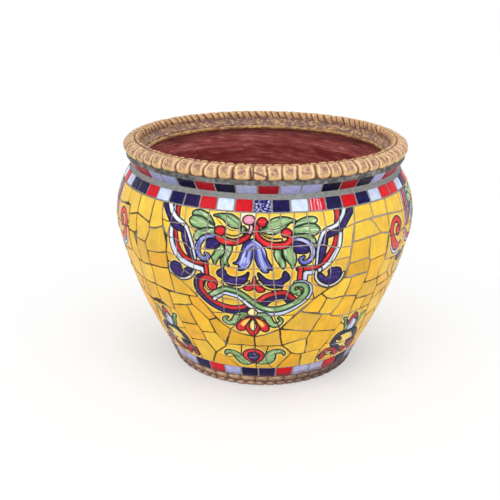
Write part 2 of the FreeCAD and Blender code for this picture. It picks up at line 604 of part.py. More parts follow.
def tile(corners, joint):
    """A flat tile on the outline. Its corners are given as (turn, run), clockwise from outside."""
    middle_turn = sum(turn for turn, run in corners) / len(corners)
    middle_run = sum(run for turn, run in corners) / len(corners)
    place, out = face_at(middle_run)
    centre = at_turn(place[0], place[1], middle_turn)
    angle = math.radians(middle_turn)
    normal = FreeCAD.Vector(out[0] * math.sin(angle), -out[0] * math.cos(angle), out[1])
    points = []
    for turn, run in corners:
        radius, height = face_at(run)[0]
        point = at_turn(radius, height, turn)
        points.append(point - normal * (point - centre).dot(normal))
    points = inset(points, normal * -1, joint / 2)
    face = Part.Face(Part.makePolygon(points + points[:1]))
    return face.extrude(normal * -tile_thickness)


field_run = shoulder_run - base_run


def chip(shares, turn, side, joint):
    """A chip of the field: placed round the pot by a turn, and mirrored where side is -1."""
    corners = [(turn + side * place, base_run + field_run * rise / whole_share) for place, rise in shares]
    if side < 0:
        corners.reverse()
    return tile(corners, joint)


def chips(table, turn, side, joint):
    return [chip(shares, turn, side, joint) for shares in table]


def row_tiles(count, start, low_run, high_run, colours, colour):
    """The tiles of one colour in a row of small square tiles."""
    pitch = full_turn / count
    solids = []
    for index in range(count):
        if colours[index % len(colours)] != colour:
            continue
        left = start + pitch * index
        right = left + pitch
        corners = [(left, high_run), (right, high_run), (right, low_run), (left, low_run)]
        solids.append(tile(corners, row_joint))
    return solids


def export(name, solids):
    shape = solids[0] if len(solids) == 1 else Part.makeCompound(solids)
    shape.exportStep(os.path.join("parts", name + ".step"))
    volume = sum(solid.Volume for solid in solids)
    print(name, len(solids), "solids,", round(volume), "cubic mm, valid", shape.isValid())


def export_rows():
    rows = (
        ("neck", neck_tile_count, neck_start_turn, waist_run, neck_run, NECK_COLOURS),
        (
            "shoulder", shoulder_tile_count, shoulder_start_turn,
            shoulder_run, shoulder_top_run, SHOULDER_COLOURS,
        ),
        ("base", base_tile_count, base_start_turn, foot_run, base_run, BASE_COLOURS),
    )
    for name, count, start, low_run, high_run, colours in rows:
        for colour in sorted(set(colours)):
            solids = row_tiles(count, start, low_run, high_run, colours, colour)
            export(name + "_row_" + colour, solids)


def export_mosaic():
    for name, turn in (("front", 0.0), ("back", half_turn)):
        export("field_right_of_" + name, chips(RIGHT_FIELD_SHARES, turn, 1, field_joint))
        export("field_left_of_" + name, chips(LEFT_FIELD_SHARES, turn, 1, field_joint))
        export("panel_" + name, chips(FRONT_PANEL_SHARES, turn, 1, panel_joint))
    for name, turn in (("right", quarter_turn), ("left", quarter_turn + half_turn)):
        first_half = chips(SIDE_PANEL_SHARES, turn, 1, panel_joint)
        other_half = chips(SIDE_PANEL_SHARES, turn, -1, panel_joint)
        export("panel_" + name, first_half + other_half)
    for index, name in enumerate(("front", "right", "back", "left")):
        turn = quarter_turn * index
        export("low_field_" + name, chips(LOW_FIELD_SHARES, turn, 1, field_joint))
        export("flower_" + name, chips(FLOWER_SHARES, turn, 1, panel_joint))
        export("tulip_" + name, chips(TULIP_SHARES, turn, 1, panel_joint))


os.makedirs("parts", exist_ok=True)
export("clay_pot", [clay_pot()])
export("mortar_coat", [mortar_coat()])
export("lip_bead", [lip_bead()])
export("rim_roll", [lobed_ring(rim_lobe_count, rim_section)])
export("foot_bricks", [foot_bricks()])
export("foot_pebbles", [foot_pebbles()])
export_rows()
export_mosaic()
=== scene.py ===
import math
import bpy
import numpy as np
from mathutils import Matrix, Vector
from mathutils.geometry import delaunay_2d_cdt


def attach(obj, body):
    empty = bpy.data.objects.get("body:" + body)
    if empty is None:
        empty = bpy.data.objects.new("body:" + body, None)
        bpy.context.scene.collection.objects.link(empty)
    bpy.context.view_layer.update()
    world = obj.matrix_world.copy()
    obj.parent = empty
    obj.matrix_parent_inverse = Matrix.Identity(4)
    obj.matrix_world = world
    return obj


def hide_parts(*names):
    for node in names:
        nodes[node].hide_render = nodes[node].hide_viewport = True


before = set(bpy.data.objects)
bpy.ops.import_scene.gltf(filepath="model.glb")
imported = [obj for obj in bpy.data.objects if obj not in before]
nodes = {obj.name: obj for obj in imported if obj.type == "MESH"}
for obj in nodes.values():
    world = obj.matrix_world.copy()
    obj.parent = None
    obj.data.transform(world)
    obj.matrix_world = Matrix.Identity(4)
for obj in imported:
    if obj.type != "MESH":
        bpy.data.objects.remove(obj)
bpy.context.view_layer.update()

# Working lengths in this script are millimetres until a mesh is made
metre = 1000.0
body = "root"


def unit(value):
    """Held between nothing and one."""
    return np.clip(value, 0, 1)


def hump(value, middle, width, power=2):
    """One at the middle, falling off on both sides of it."""
    return np.exp(-(((value - middle) / width) ** power))


# The outline of the tile faces, from the foot to the neck: shares of the belly's radius and of
# the wall's height, as in the part. Two of its stretches are arcs through a middle place.
belly_radius = 200.0
wall_height = 288.8
OUTLINE_SHARES = ((0.6225, 0.0), (0.6575, 0.0606), (0.6925, 0.116), (0.993, 0.6787),
                  (0.9015, 0.9401), (0.884, 0.955), (0.926, 1.0))
ARC_SHARES = {2: (0.885, 0.4103), 3: (0.9833, 0.8154)}
shoulder_row_share = 0.205
samples = 60


def outline_place(shares):
    return np.array([belly_radius * shares[0], wall_height * shares[1]])


def arc_through(first, middle, last):
    """Places along the circle through three places of the outline."""
    a, b = middle - first, last - first
    cross = 2 * (a[0] * b[1] - a[1] * b[0])
    aa, bb = a @ a, b @ b
    centre = first + np.array([b[1] * aa - a[1] * bb, a[0] * bb - b[0] * aa]) / cross
    turns = [math.atan2(*(p - centre)[::-1]) for p in (first, last)]
    angle = np.linspace(turns[0], turns[1], samples + 1)
    radius = math.hypot(*(first - centre))
    return centre + radius * np.column_stack([np.cos(angle), np.sin(angle)])


def sampled_outline():
    """Places of the outline, their runs from the foot, and the runs of its corners."""
    corners = [outline_place(s) for s in OUTLINE_SHARES]
    places = [corners[0][None]]
    for index, (start, end) in enumerate(zip(corners, corners[1:])):
        if index in ARC_SHARES:
            part = arc_through(start, outline_place(ARC_SHARES[index]), end)
        else:
            part = np.linspace(start, end, samples + 1)
        places.append(part[1:])
    places = np.vstack(places)
    runs = np.concatenate([[0], np.cumsum(np.hypot(*np.diff(places, axis=0).T))])
    return places, runs, runs[::samples]


OUTLINE, RUNS, CORNER_RUNS = sampled_outline()
base_run = CORNER_RUNS[2]
shoulder_run = CORNER_RUNS[4] - shoulder_row_share * (CORNER_RUNS[4] - CORNER_RUNS[3])
# The field runs from the base row to the shoulder row, and heights on it are hundredths of that
rise_mm = (shoulder_run - base_run) / 100


def degree_mm(y):
    """Millimetres to a degree of turn at a height of the field."""
    radius = np.interp(base_run + y * rise_mm, RUNS, OUTLINE[:, 0])
    return radius * math.pi / 180


def place_at(run):
    return np.array([np.interp(run, RUNS, OUTLINE[:, 0]), np.interp(run, RUNS, OUTLINE[:, 1])])


def field_places(points):
    """Turn in degrees from the front, and hundredths of the field's run, of points on the pot."""
    turn = np.degrees(np.arctan2(points[:, 0], -points[:, 1]))
    run = np.interp(points[:, 2], OUTLINE[:, 1], RUNS)
    return turn, (run - base_run) / rise_mm


# The painted ornament. Each figure is (glaze, places, widths, half widths of an ellipse), and a
# later one covers the earlier ones. Its numbers are written in tenths: the places as pairs of
# degrees from the figure's middle and hundredths of the field's run, and the widths in
# millimetres.

def pairs(numbers):
    return np.array(numbers, float).reshape(-1, 2) / 10


def leaf(glaze_name, *numbers):
    """A shape filled inside its places."""
    return glaze_name, pairs(numbers), None, None


def band(glaze_name, widths, *numbers):
    """A shape brushed along its places, with a width at each."""
    return glaze_name, pairs(numbers), np.array(widths) / 10, None


def ball(glaze_name, x, y, half_x, half_y):
    """A shape filled inside an ellipse."""
    return glaze_name, pairs((x, y)), None, (half_x / 10, half_y / 10)


STRAPS = [
    band("white", (50, 50, 55, 60, 70, 70, 65, 55, 50), -292, 893, -292, 845, -287, 803, -275, 762,
         -255, 728, -225, 705, -190, 694, -172, 686, -171, 654),
    band("red", (36, 40, 42, 44, 48, 48, 46, 44), -276, 880, -271, 841, -265, 803, -254, 770,
         -239, 747, -215, 733, -185, 723, -158, 726),
    band("red", (44, 44), -158, 728, -158, 658),
    leaf("navy", -346, 990, -332, 962, -317, 937, -302, 912, -290, 891, -270, 880, -250, 872,
         -245, 845, -236, 812, -229, 783, -220, 758, -202, 742, -205, 762, -210, 795, -215, 828,
         -222, 858, -232, 883, -239, 898, -257, 908, -280, 920, -297, 937, -310, 958, -326, 988),
    band("red", (42, 42, 40), -277, 1005, -277, 974, -274, 946),
    band("white", (24, 22, 20), -296, 1005, -292, 976, -283, 952),
    band("white", (52, 50, 45, 45, 40, 35, 32, 30, 28, 24), -316, 1000, -300, 962, -280, 937,
         -255, 920, -236, 905, -225, 883, -216, 853, -207, 820, -201, 787, -196, 745),
    band("white", (49, 50, 52, 60, 65, 70, 60, 30), 310, 893, 308, 853, 303, 820, 292, 787,
         280, 758, 262, 728, 242, 701, 237, 683),
    band("white", (55, 62, 56, 50), 237, 700, 210, 691, 189, 684, 187, 636),
    band("red", (36, 40, 44, 48, 52, 52, 50, 50), 294, 870, 289, 837, 280, 808, 267, 778, 255, 753,
         237, 728, 213, 715, 162, 716),
    band("red", (48, 48), 169, 718, 169, 636),
    leaf("navy", 377, 990, 365, 966, 350, 943, 335, 920, 322, 901, 305, 887, 280, 874, 261, 864,
         259, 841, 255, 816, 250, 787, 242, 762, 237, 739, 228, 736, 230, 762, 232, 791, 236, 820,
         241, 849, 250, 874, 261, 891, 285, 901, 305, 914, 317, 926, 332, 951, 347, 974, 356, 992),
    band("red", (70, 56, 34), 308, 1004, 306, 966, 297, 930),
    band("white", (46, 45, 40, 40, 36, 40, 40, 35, 30, 25, 21, 20), 338, 1000, 330, 974, 317, 949,
         302, 926, 280, 914, 259, 905, 246, 891, 237, 866, 230, 837, 226, 803, 225, 770, 224, 736),
]
HEARTS = [
    band("ivory", (22, 22, 24, 24, 24, 24, 22, 20), -206, 670, -218, 643, -238, 620, -260, 608,
         -289, 608, -310, 632, -316, 660, -310, 690),
    leaf("navy", -285, 702, -297, 691, -305, 670, -304, 649, -295, 628, -277, 619, -257, 620,
         -239, 635, -225, 653, -214, 677, -227, 679, -239, 676, -247, 664, -259, 662, -267, 670,
         -259, 680, -262, 692, -272, 700),
    band("ivory", (22, 22, 24, 24, 24, 24, 22, 20), 226, 690, 228, 653, 242, 622, 262, 602,
         283, 593, 310, 602, 330, 626, 336, 660),
    leaf("navy", 237, 676, 238, 653, 248, 632, 265, 614, 283, 604, 303, 610, 318, 628, 324, 653,
         323, 674, 315, 691, 302, 699, 283, 698, 272, 687, 276, 670, 273, 650, 264, 648, 255, 660,
         247, 672),
]
LEFT_FAN = [
    leaf("green", -130, 930, -135, 945, -145, 966, -160, 983, -185, 991, -207, 986, -215, 973,
         -208, 962, -190, 966, -170, 958, -150, 943),
    leaf("green", -128, 920, -150, 941, -175, 957, -205, 960, -219, 947, -221, 932, -212, 915,
         -192, 906, -165, 908, -140, 910, -125, 908),
    leaf("green", -123, 906, -145, 910, -167, 904, -187, 891, -197, 874, -199, 853, -192, 843,
         -182, 848, -175, 860, -155, 872, -130, 874, -123, 878),
]
LEFT_LEAF_LINE = [
    band("line", (9, 9, 9, 7), -130, 974, -98, 930, -70, 912, -42, 908),
]
LEFT_LEAF = [
    leaf("green", -133, 976, -115, 983, -90, 987, -70, 985, -50, 970, -39, 953, -37, 933, -47, 922,
         -70, 928, -85, 941, -97, 958, -115, 970),
]
RIGHT_FOLIAGE = [
    band("line", (7, 9, 6), -90, 983, -65, 960, -44, 936),
    leaf("green", 145, 926, 150, 945, 165, 962, 185, 972, 205, 975, 222, 968, 225, 955, 215, 943,
         190, 940, 165, 932),
    leaf("green", 145, 920, 165, 933, 190, 940, 215, 938, 230, 922, 232, 905, 222, 891, 210, 886,
         190, 893, 170, 895, 150, 893),
    leaf("green", 145, 890, 170, 894, 192, 889, 210, 874, 218, 853, 215, 837, 205, 841, 190, 853,
         170, 866, 145, 874),
    band("line", (9, 9, 9, 9, 7), 30, 918, 48, 893, 75, 877, 102, 877, 118, 888),
    leaf("green", 32, 916, 50, 930, 55, 949, 70, 968, 90, 977, 115, 978, 135, 970, 152, 957,
         132, 952, 118, 936, 106, 922, 93, 910, 75, 898, 55, 901, 40, 908),
    band("line", (7, 9, 9, 6), 60, 920, 85, 923, 112, 938, 140, 956),
]
LEFT_DROPS = [
    leaf("green", -102, 846, -92, 824, -89, 803, -97, 783, -112, 762, -124, 728, -130, 749,
         -132, 770, -124, 791, -117, 812, -112, 833),
    leaf("green", -85, 845, -67, 842, -64, 816, -70, 791, -77, 770, -81, 745, -75, 726, -89, 736,
         -97, 708, -102, 733, -100, 762, -90, 783, -85, 812),
]
RIGHT_DROPS = [
    leaf("green", 82, 830, 78, 803, 82, 778, 92, 753, 107, 720, 115, 733, 112, 758, 102, 783,
         100, 808, 98, 830),
    leaf("green", 110, 832, 130, 840, 138, 820, 148, 795, 151, 770, 148, 745, 140, 720, 134, 741,
         122, 762, 112, 783, 108, 803),
]
# The lines over the swags, and the bud on the cream chip
SWAG_LINES = [
    band("cream", (12, 17, 18, 16, 12), -89, 886, -64, 876, -41, 883, -27, 898, -18, 918),
    band("cream", (12, 17, 18, 14), 32, 894, 50, 874, 74, 865, 100, 867),
    ball("green", -27, 916, 6, 15),
]
LEFT_CURL = [
    leaf("navy", -112, 868, -137, 864, -150, 845, -155, 824, -156, 809, -132, 812, -115, 820,
         -105, 839, -106, 858),
    band("blue", (26, 36, 46, 50, 54, 54, 50, 48, 42, 34, 24), -116, 872, -142, 872, -165, 858,
         -177, 837, -184, 812, -185, 787, -177, 763, -162, 752, -149, 761, -148, 774, -156, 780),
]
RIGHT_CURL = [
    leaf("navy", 132, 864, 157, 862, 177, 849, 190, 833, 193, 808, 182, 799, 160, 801, 147, 810,
         140, 833),
    band("blue", (26, 36, 44, 50, 52, 52, 50, 48, 42, 34, 24), 132, 870, 160, 869, 182, 858,
         200, 837, 208, 812, 208, 787, 200, 762, 183, 748, 169, 755, 167, 770, 177, 778),
]
LEFT_SWAG = [
    band("red", (56, 60, 64, 62, 56, 46, 38, 34, 30), -114, 889, -110, 868, -92, 854, -65, 851,
         -38, 860, -18, 876, -6, 895, 0, 920, 1, 946),
    ball("red", -106, 903, 17, 21),
]
BERRIES = [
    band("pink", (32, 30, 26), -5, 904, 0, 924, -3, 948),
    ball("pink", -9, 964, 19, 21),
    band("red", (46, 50, 56, 62, 66, 68, 66, 62, 56), 19, 936, 17, 900, 27, 874, 45, 854, 70, 842,
         95, 839, 118, 847, 130, 864, 131, 887),
    ball("red", 36, 955, 15, 20),
    ball("red", 118, 902, 16, 19),
]
BELL_FLOWER = [
    leaf("blue", 4, 870, -15, 855, -25, 837, -30, 812, -37, 783, -45, 756, -58, 743, -43, 739,
         -38, 728, -45, 710, -30, 708, -13, 724, -3, 749, 4, 787, 10, 826, 14, 787, 20, 753,
         30, 724, 42, 701, 57, 699, 59, 718, 72, 714, 66, 740, 53, 774, 49, 803, 42, 828, 30, 849,
         16, 864),
    band("deep", (12, 24, 14), 2, 864, -14, 846, -20, 824),
    band("deep", (7, 16, 11), -26, 815, -35, 776, -47, 748),
    band("deep", (7, 15, 10), 35, 823, 43, 780, 59, 732),
    band("deep", (7, 13, 7), 17, 815, 23, 774, 33, 734),
    band("deep", (10, 18, 12), -16, 780, -12, 808, 2, 836),
    band("pale", (10, 18, 18, 10), -12, 836, -22, 795, -30, 760, -36, 738),
    band("pale", (10, 17, 18, 10), 22, 838, 29, 795, 38, 755, 50, 718),
]
LEFT_BOAT = [
    leaf("navy", -105, 702, -118, 683, -115, 664, -102, 653, -95, 637, -87, 620, -70, 613,
         -50, 615, -30, 628, -18, 649, -11, 674, -9, 695, -20, 678, -40, 665, -60, 660, -77, 666,
         -87, 680, -90, 698),
    band("cream", (14, 18, 18, 18, 14), -100, 630, -89, 608, -64, 600, -34, 608, -9, 640),
]
# The right boat, and the small red flower between the two
RIGHT_BOAT = [
    leaf("navy", 25, 694, 27, 670, 37, 645, 55, 624, 75, 610, 95, 608, 109, 609, 109, 624,
         118, 639, 130, 653, 131, 670, 125, 687, 115, 702, 110, 687, 107, 666, 95, 652, 75, 649,
         55, 655, 40, 672),
    band("cream", (14, 18, 18, 14), 26, 646, 44, 615, 70, 597, 104, 596),
    leaf("red", 12, 674, 6, 642, 3, 629, -12, 618, -25, 603, -22, 591, -4, 589, 6, 601, 12, 620,
         16, 603, 20, 587, 30, 578, 45, 585, 45, 599, 30, 614, 19, 629, 17, 642),
]
RIBBONS = [
    band("navy", (30, 50, 54, 56, 56, 58, 60, 60, 60, 60, 54, 46, 30), -176, 656, -192, 637,
         -203, 608, -206, 578, -200, 549, -186, 520, -165, 490, -140, 466, -110, 449, -75, 442,
         -40, 445, -15, 457, 0, 472),
    band("red", (44, 54, 56, 54, 52, 52, 52, 52, 54, 56, 58, 58, 54, 46), -130, 608, -133, 628,
         -150, 642, -170, 637, -182, 620, -187, 595, -187, 566, -177, 541, -160, 514, -135, 489,
         -105, 474, -70, 468, -40, 475, -22, 486),
    ball("red", -146, 596, 18, 26),
    band("cream", (12, 16, 12), -162, 616, -167, 594, -160, 570),
    band("navy", (50, 54, 54, 54, 52, 50, 50), 44, 494, 60, 520, 77, 540, 100, 548, 118, 548,
         130, 528, 146, 506),
    band("red", (52, 54, 54, 52, 50, 50, 50, 48), 19, 512, 40, 539, 60, 559, 90, 570, 118, 573,
         131, 561, 148, 540, 164, 518),
    band("white", (36, 36, 36, 36, 36, 38, 42, 46, 48, 46, 42, 36, 32, 30, 30, 30, 30, 28, 24),
         -142, 512, -120, 540, -100, 559, -70, 552, -50, 543, -30, 520, -10, 491, 15, 464, 45, 444,
         75, 436, 110, 439, 145, 458, 175, 487, 200, 520, 213, 553, 215, 587, 203, 617, 180, 637,
         154, 636),
    band("green", (56, 60, 62, 64, 64, 64, 64, 64, 68, 72, 74, 74, 72, 70, 68, 66, 64, 62, 60, 54,
         48, 44, 46, 50), -150, 540, -130, 559, -110, 577, -95, 587, -70, 582, -47, 571, -25, 549,
         -5, 524, 17, 497, 40, 477, 70, 466, 100, 469, 130, 482, 160, 504, 183, 530, 196, 559,
         198, 587, 189, 610, 170, 620, 152, 614, 146, 594, 154, 573, 169, 582, 172, 562),
]
LEFT_CALYX = [
    band("green", (50, 74, 80, 80, 70, 56, 42, 32, 22), -15, 430, -42, 425, -58, 408, -67, 385,
         -81, 366, -99, 362, -111, 375, -109, 392, -98, 401),
]
RIGHT_CALYX = [
    band("green", (50, 74, 80, 80, 70, 56, 42, 32, 22), 19, 430, 46, 425, 62, 405, 69, 383,
         83, 360, 99, 358, 112, 376, 114, 394, 104, 407),
]
BUD = [
    leaf("cream", 2, 470, -14, 450, -12, 430, 2, 420, 16, 432, 18, 450),
]
PALMETTE = [
    leaf("red", -1, 412, -26, 400, -45, 381, -58, 358, -64, 335, -58, 315, -47, 311, -31, 323,
         -22, 346, -10, 373),
    leaf("golden", -8, 402, -26, 393, -41, 373, -45, 353, -35, 346, -24, 358, -12, 383),
    leaf("red", 10, 412, 33, 398, 51, 377, 62, 354, 66, 331, 60, 313, 49, 311, 37, 323, 28, 346,
         17, 373),
    leaf("golden", 16, 401, 30, 392, 44, 373, 49, 352, 40, 343, 30, 356, 20, 380),
    leaf("red", 3, 406, -13, 373, -24, 346, -25, 327, -15, 300, 1, 277, 17, 296, 26, 323, 26, 346,
         17, 373),
    leaf("cream", 2, 392, -6, 373, -10, 346, -6, 329, 2, 319, 11, 331, 14, 350, 9, 377),
]
BASE_FLOWER = [
    leaf("green", -1, 56, -22, 69, -45, 92, -63, 119, -85, 140, -113, 146, -133, 137, -140, 115,
         -138, 96, -131, 112, -117, 119, -104, 115, -95, 92, -79, 58, -63, 37, -35, 33, -13, 44),
    leaf("green", 5, 54, 33, 73, 51, 112, 65, 142, 87, 162, 110, 167, 133, 158, 146, 137, 145, 115,
         133, 135, 115, 138, 103, 127, 103, 100, 96, 69, 78, 48, 51, 42, 24, 44),
    leaf("red", 3, 171, 30, 158, 46, 131, 46, 100, 33, 73, 10, 53, -6, 53, -31, 73, -47, 100,
         -47, 131, -31, 158),
    leaf("navy", -4, 142, 19, 131, 26, 112, 17, 85, 3, 60, -15, 81, -26, 108, -22, 131),
    band("pale", (8, 14, 6), -1, 138, 10, 114, 4, 94),
    band("pale", (6, 10, 6), -20, 98, 2, 96, 18, 104),
]
# The tulip's places count from its own middle
TULIP = [
    leaf("green", -56, 338, -42, 334, -28, 306, -17, 277, -8, 241, -6, 220, -21, 234, -35, 277,
         -40, 306),
    leaf("green", 40, 234, 45, 270, 54, 306, 69, 331, 83, 327, 69, 299, 63, 270, 51, 234, 44, 224),
    leaf("lilac", -5, 227, -6, 277, 0, 313, 13, 327, 30, 313, 37, 277, 33, 241, 17, 220),
    band("deep", (6, 13, 6), 9, 230, 6, 264, 10, 296),
    leaf("wine", -16, 284, -12, 324, 4, 352, 19, 342, 32, 318, 38, 294, 25, 304, 11, 316, -1, 304,
         -6, 278),
    band("night", (50, 60, 70, 70, 64, 66, 66, 60, 40), -3, 213, -17, 216, -42, 212, -60, 188,
         -65, 158, -53, 130, -35, 108, -17, 91, 1, 82),
    band("night", (50, 60, 70, 74, 70, 68, 62, 44), 19, 213, 40, 213, 61, 200, 83, 170, 92, 134,
         79, 111, 60, 98, 50, 124),
    band("night", (36, 34, 24), -46, 179, -29, 173, -17, 156),
    band("pale", (8, 14, 8), -62, 136, -40, 132, -16, 128),
    band("pale", (8, 14, 8), 30, 178, 50, 166, 64, 142),
    ball("golden", 14, 146, 22, 32),
    band("wine", (50, 54, 54, 54, 60, 74, 70, 44), -110, 54, -106, 82, -89, 99, -64, 99, -39, 88,
         -17, 61, 1, 40, 16, 42),
    ball("wine", -97, 50, 17, 26),
    band("wine", (44, 66, 68, 60, 54, 54, 52, 50), 22, 76, 40, 54, 62, 42, 84, 86, 104, 98,
         122, 86, 127, 60, 122, 46),
    ball("wine", 113, 50, 16, 24),
    ball("cream", -58, 64, 13, 12),
]
# One half of the straps of the side panels
SIDE_STRAPS = [
    band("white", (30, 30, 32, 30, 30), -332, 732, -314, 704, -297, 685, -277, 679, -260, 692),
    band("red", (40, 50, 60, 66, 68, 72, 74, 72, 80, 90, 90, 74, 54), -299, 813, -281, 815,
         -275, 838, -287, 862, -306, 873, -324, 863, -337, 831, -336, 799, -327, 770, -313, 744,
         -296, 721, -278, 712, -261, 726),
    ball("red", -294, 808, 13, 26),
    band("lilac", (30, 30, 30, 30), -216, 1005, -220, 927, -222, 870, -224, 820),
    band("lilac", (20, 20, 20, 20), -176, 1005, -180, 930, -183, 870, -186, 820),
    band("red", (60, 60, 56, 50), -196, 1005, -200, 930, -202, 870, -205, 816),
    band("lilac", (30, 34, 36, 32, 30), -234, 790, -220, 752, -192, 719, -164, 700, -130, 696),
    band("red", (46, 50, 52, 48), -214, 776, -194, 746, -166, 726, -132, 722),
    leaf("navy", -154, 1000, -142, 950, -148, 900, -166, 854, -180, 822, -170, 864, -168, 910,
         -170, 960, -169, 1000),
    leaf("navy", -236, 664, -246, 638, -238, 612, -216, 602, -194, 612, -182, 640, -184, 668,
         -198, 672, -204, 654, -218, 648, -222, 662),
    band("green", (50, 60, 64, 64, 62, 56, 44), -10, 566, -44, 580, -80, 568, -112, 532, -144, 514,
         -170, 534, -164, 566),
    band("white", (30, 32, 32, 30, 26), -10, 536, -48, 548, -80, 532, -114, 496, -150, 484),
]


def moved(figures, turn, share=1):
    """Figures drawn in by a share, or mirrored by a negative one, and turned round the pot."""
    return [(glaze_name, places * (share, 1) + (turn, 0), widths, radii)
            for glaze_name, places, widths, radii in figures]


def both_sides(figures, share=1):
    return moved(figures, 0, share) + moved(figures, 0, -share)


FRONT_FIGURES = (STRAPS + HEARTS + LEFT_FAN + LEFT_LEAF_LINE + LEFT_LEAF + RIGHT_FOLIAGE
                 + LEFT_DROPS + RIGHT_DROPS + SWAG_LINES + LEFT_CURL + RIGHT_CURL + LEFT_SWAG
                 + BERRIES + BELL_FLOWER + LEFT_BOAT + RIGHT_BOAT + RIBBONS + LEFT_CALYX
                 + RIGHT_CALYX + BUD + PALMETTE)
# The side panels are narrower, and mirrored about their middle
side_share, bell_shift = 0.74, -0.4
SIDE_FIGURES = (both_sides(SIDE_STRAPS)
                + both_sides(LEFT_FAN + LEFT_LEAF + LEFT_DROPS + LEFT_CURL + LEFT_SWAG, side_share)
                + moved(BELL_FLOWER, bell_shift, side_share) + both_sides(LEFT_BOAT, side_share)
                + PALMETTE + both_sides(LEFT_CALYX) + BUD)

# Glazes as sRGB from 0 to 255: the edge of the brushed shape, its middle, and the brush's streaks
GLAZES = {
    "line": ((14, 8, 10), (14, 8, 10), (14, 8, 10)),
    "white": ((186, 198, 230), (242, 246, 252), (206, 214, 240)),
    "cream": ((236, 206, 112), (250, 234, 172), (255, 244, 200)),
    "ivory": ((206, 206, 200), (246, 244, 236), (226, 230, 240)),
    "golden": ((236, 184, 62), (252, 214, 104), (255, 228, 130)),
    "navy": ((22, 8, 60), (42, 18, 102), (88, 70, 156)),
    "night": ((8, 4, 26), (24, 14, 56), (64, 56, 110)),
    "deep": ((34, 24, 92), (44, 34, 112), (88, 84, 170)),
    "blue": ((46, 44, 134), (142, 150, 230), (226, 232, 255)),
    "pale": ((170, 184, 238), (206, 216, 250), (230, 236, 255)),
    "lilac": ((146, 140, 190), (212, 214, 240), (236, 238, 250)),
    "red": ((166, 12, 28), (226, 34, 44), (240, 88, 80)),
    "wine": ((120, 8, 22), (186, 26, 38), (222, 76, 74)),
    "pink": ((204, 104, 138), (236, 172, 194), (250, 214, 222)),
    "green": ((68, 112, 66), (150, 186, 126), (222, 234, 204)),
}
WITHOUT_HALO = ("cream", "ivory", "deep", "pale", "line")
WITHOUT_INK = ("deep", "pale", "golden", "line")
INK = (8, 4, 6)
HALO = (255, 240, 158)
line_mm, halo_mm, soft_mm, core_mm = 1.65, 1.4, 0.4, 2.4
least_band_mm = 0.3
reach_mm, least_degree_mm = 6.5, 2.2
ball_places = 12


def smooth_path(places, widths=None, steps=6):
    """A Catmull-Rom line through the places: closed, or open and with widths along it."""
    closed = widths is None
    knots = np.column_stack([places, np.zeros(len(places)) if closed else widths])
    if closed:
        ring = np.vstack([knots[-1:], knots, knots[:2]])
    else:
        ring = np.vstack([2 * knots[:1] - knots[1:2], knots, 2 * knots[-1:] - knots[-2:-1]])
    t = np.arange(steps)[:, None] / steps
    out = [0.5 * (2 * b + (c - a) * t + (2 * a - 5 * b + 4 * c - d) * t ** 2
                  + (3 * b - a - 3 * c + d) * t ** 3)
           for a, b, c, d in zip(ring, ring[1:], ring[2:], ring[3:])]
    if not closed:
        out.append(knots[-1:])
    out = np.vstack(out)
    return out[:, :2], out[:, 2] if closed else np.maximum(out[:, 2], least_band_mm)


def inside_ring(spots, ring):
    inside = np.zeros(len(spots), bool)
    for (ax, ay), (bx, by) in zip(ring, np.roll(ring, -1, 0)):
        if ay != by:
            cross = (ay > spots[:, 1]) != (by > spots[:, 1])
            inside ^= cross & (spots[:, 0] < (bx - ax) * (spots[:, 1] - ay) / (by - ay) + ax)
    return inside


def near_line(x, y, kx, path, widths, closed):
    """Distance in millimetres to a brushed line, negative inside it."""
    away = np.full(len(x), 1e9)
    ends = np.roll(path, -1, 0) if closed else path[1:]
    w_ends = np.roll(widths, -1) if closed else widths[1:]
    for (ax, ay), (bx, by), wa, wb in zip(path, ends, widths, w_ends):
        px, py = (x - ax) * kx, (y - ay) * rise_mm
        dx, dy = (bx - ax) * kx, (by - ay) * rise_mm
        t = unit((px * dx + py * dy) / (dx * dx + dy * dy + 1e-9))
        gap = np.hypot(px - t * dx, py - t * dy) - (wa + (wb - wa) * t) / 2
        away = np.minimum(away, gap)
    if closed:
        inside = inside_ring(np.column_stack([x, y]), path)
        away = np.where(inside, -np.abs(away), away)
    return away


def step(edge, value):
    """One where value is under edge, with a soft change."""
    return unit((edge - value) / soft_mm + 0.5)


HASH_X, HASH_Y, HASH_SEED, HASH_MIX = 73856093, 19349663, 83492791, 1274126177


def ripple(x, y, seed):
    """Smooth noise from -1 to 1 over a plane."""
    xi, yi = np.floor(x).astype(int), np.floor(y).astype(int)
    fx, fy = x - xi, y - yi
    fx, fy = fx * fx * (3 - 2 * fx), fy * fy * (3 - 2 * fy)

    def at(i, j):
        h = (i * HASH_X) ^ (j * HASH_Y) ^ (seed * HASH_SEED)
        h = (h ^ (h >> 13)) * HASH_MIX & 0xFFFFFFFF
        return ((h ^ (h >> 16)) & 0xFFFF) / 32767.5 - 1

    low = at(xi, yi) * (1 - fx) + at(xi + 1, yi) * fx
    high = at(xi, yi + 1) * (1 - fx) + at(xi + 1, yi + 1) * fx
    return low * (1 - fy) + high * fy


def mix(colours, colour, share, rows=slice(None)):
    """Lays a colour over the colours, by a share for each."""
    share = np.asarray(share)[:, None]
    colours[rows] = colours[rows] * (1 - share) + np.asarray(colour, float) * share


def vary(colours, amount, noise_values):
    """Makes the colours lighter and darker by a noise from -1 to 1."""
    colours *= (1 + amount * noise_values)[:, None]


def drawn_shapes(figures):
    """The figures' glazes, smooth lines and widths, and whether each is closed."""
    turns = np.arange(ball_places) * 2 * math.pi / ball_places
    for glaze_name, places, widths, radii in figures:
        if radii is not None:
            places = places + np.column_stack([radii[0] * np.cos(turns), radii[1] * np.sin(turns)])
        yield glaze_name, *smooth_path(places, widths), widths is None


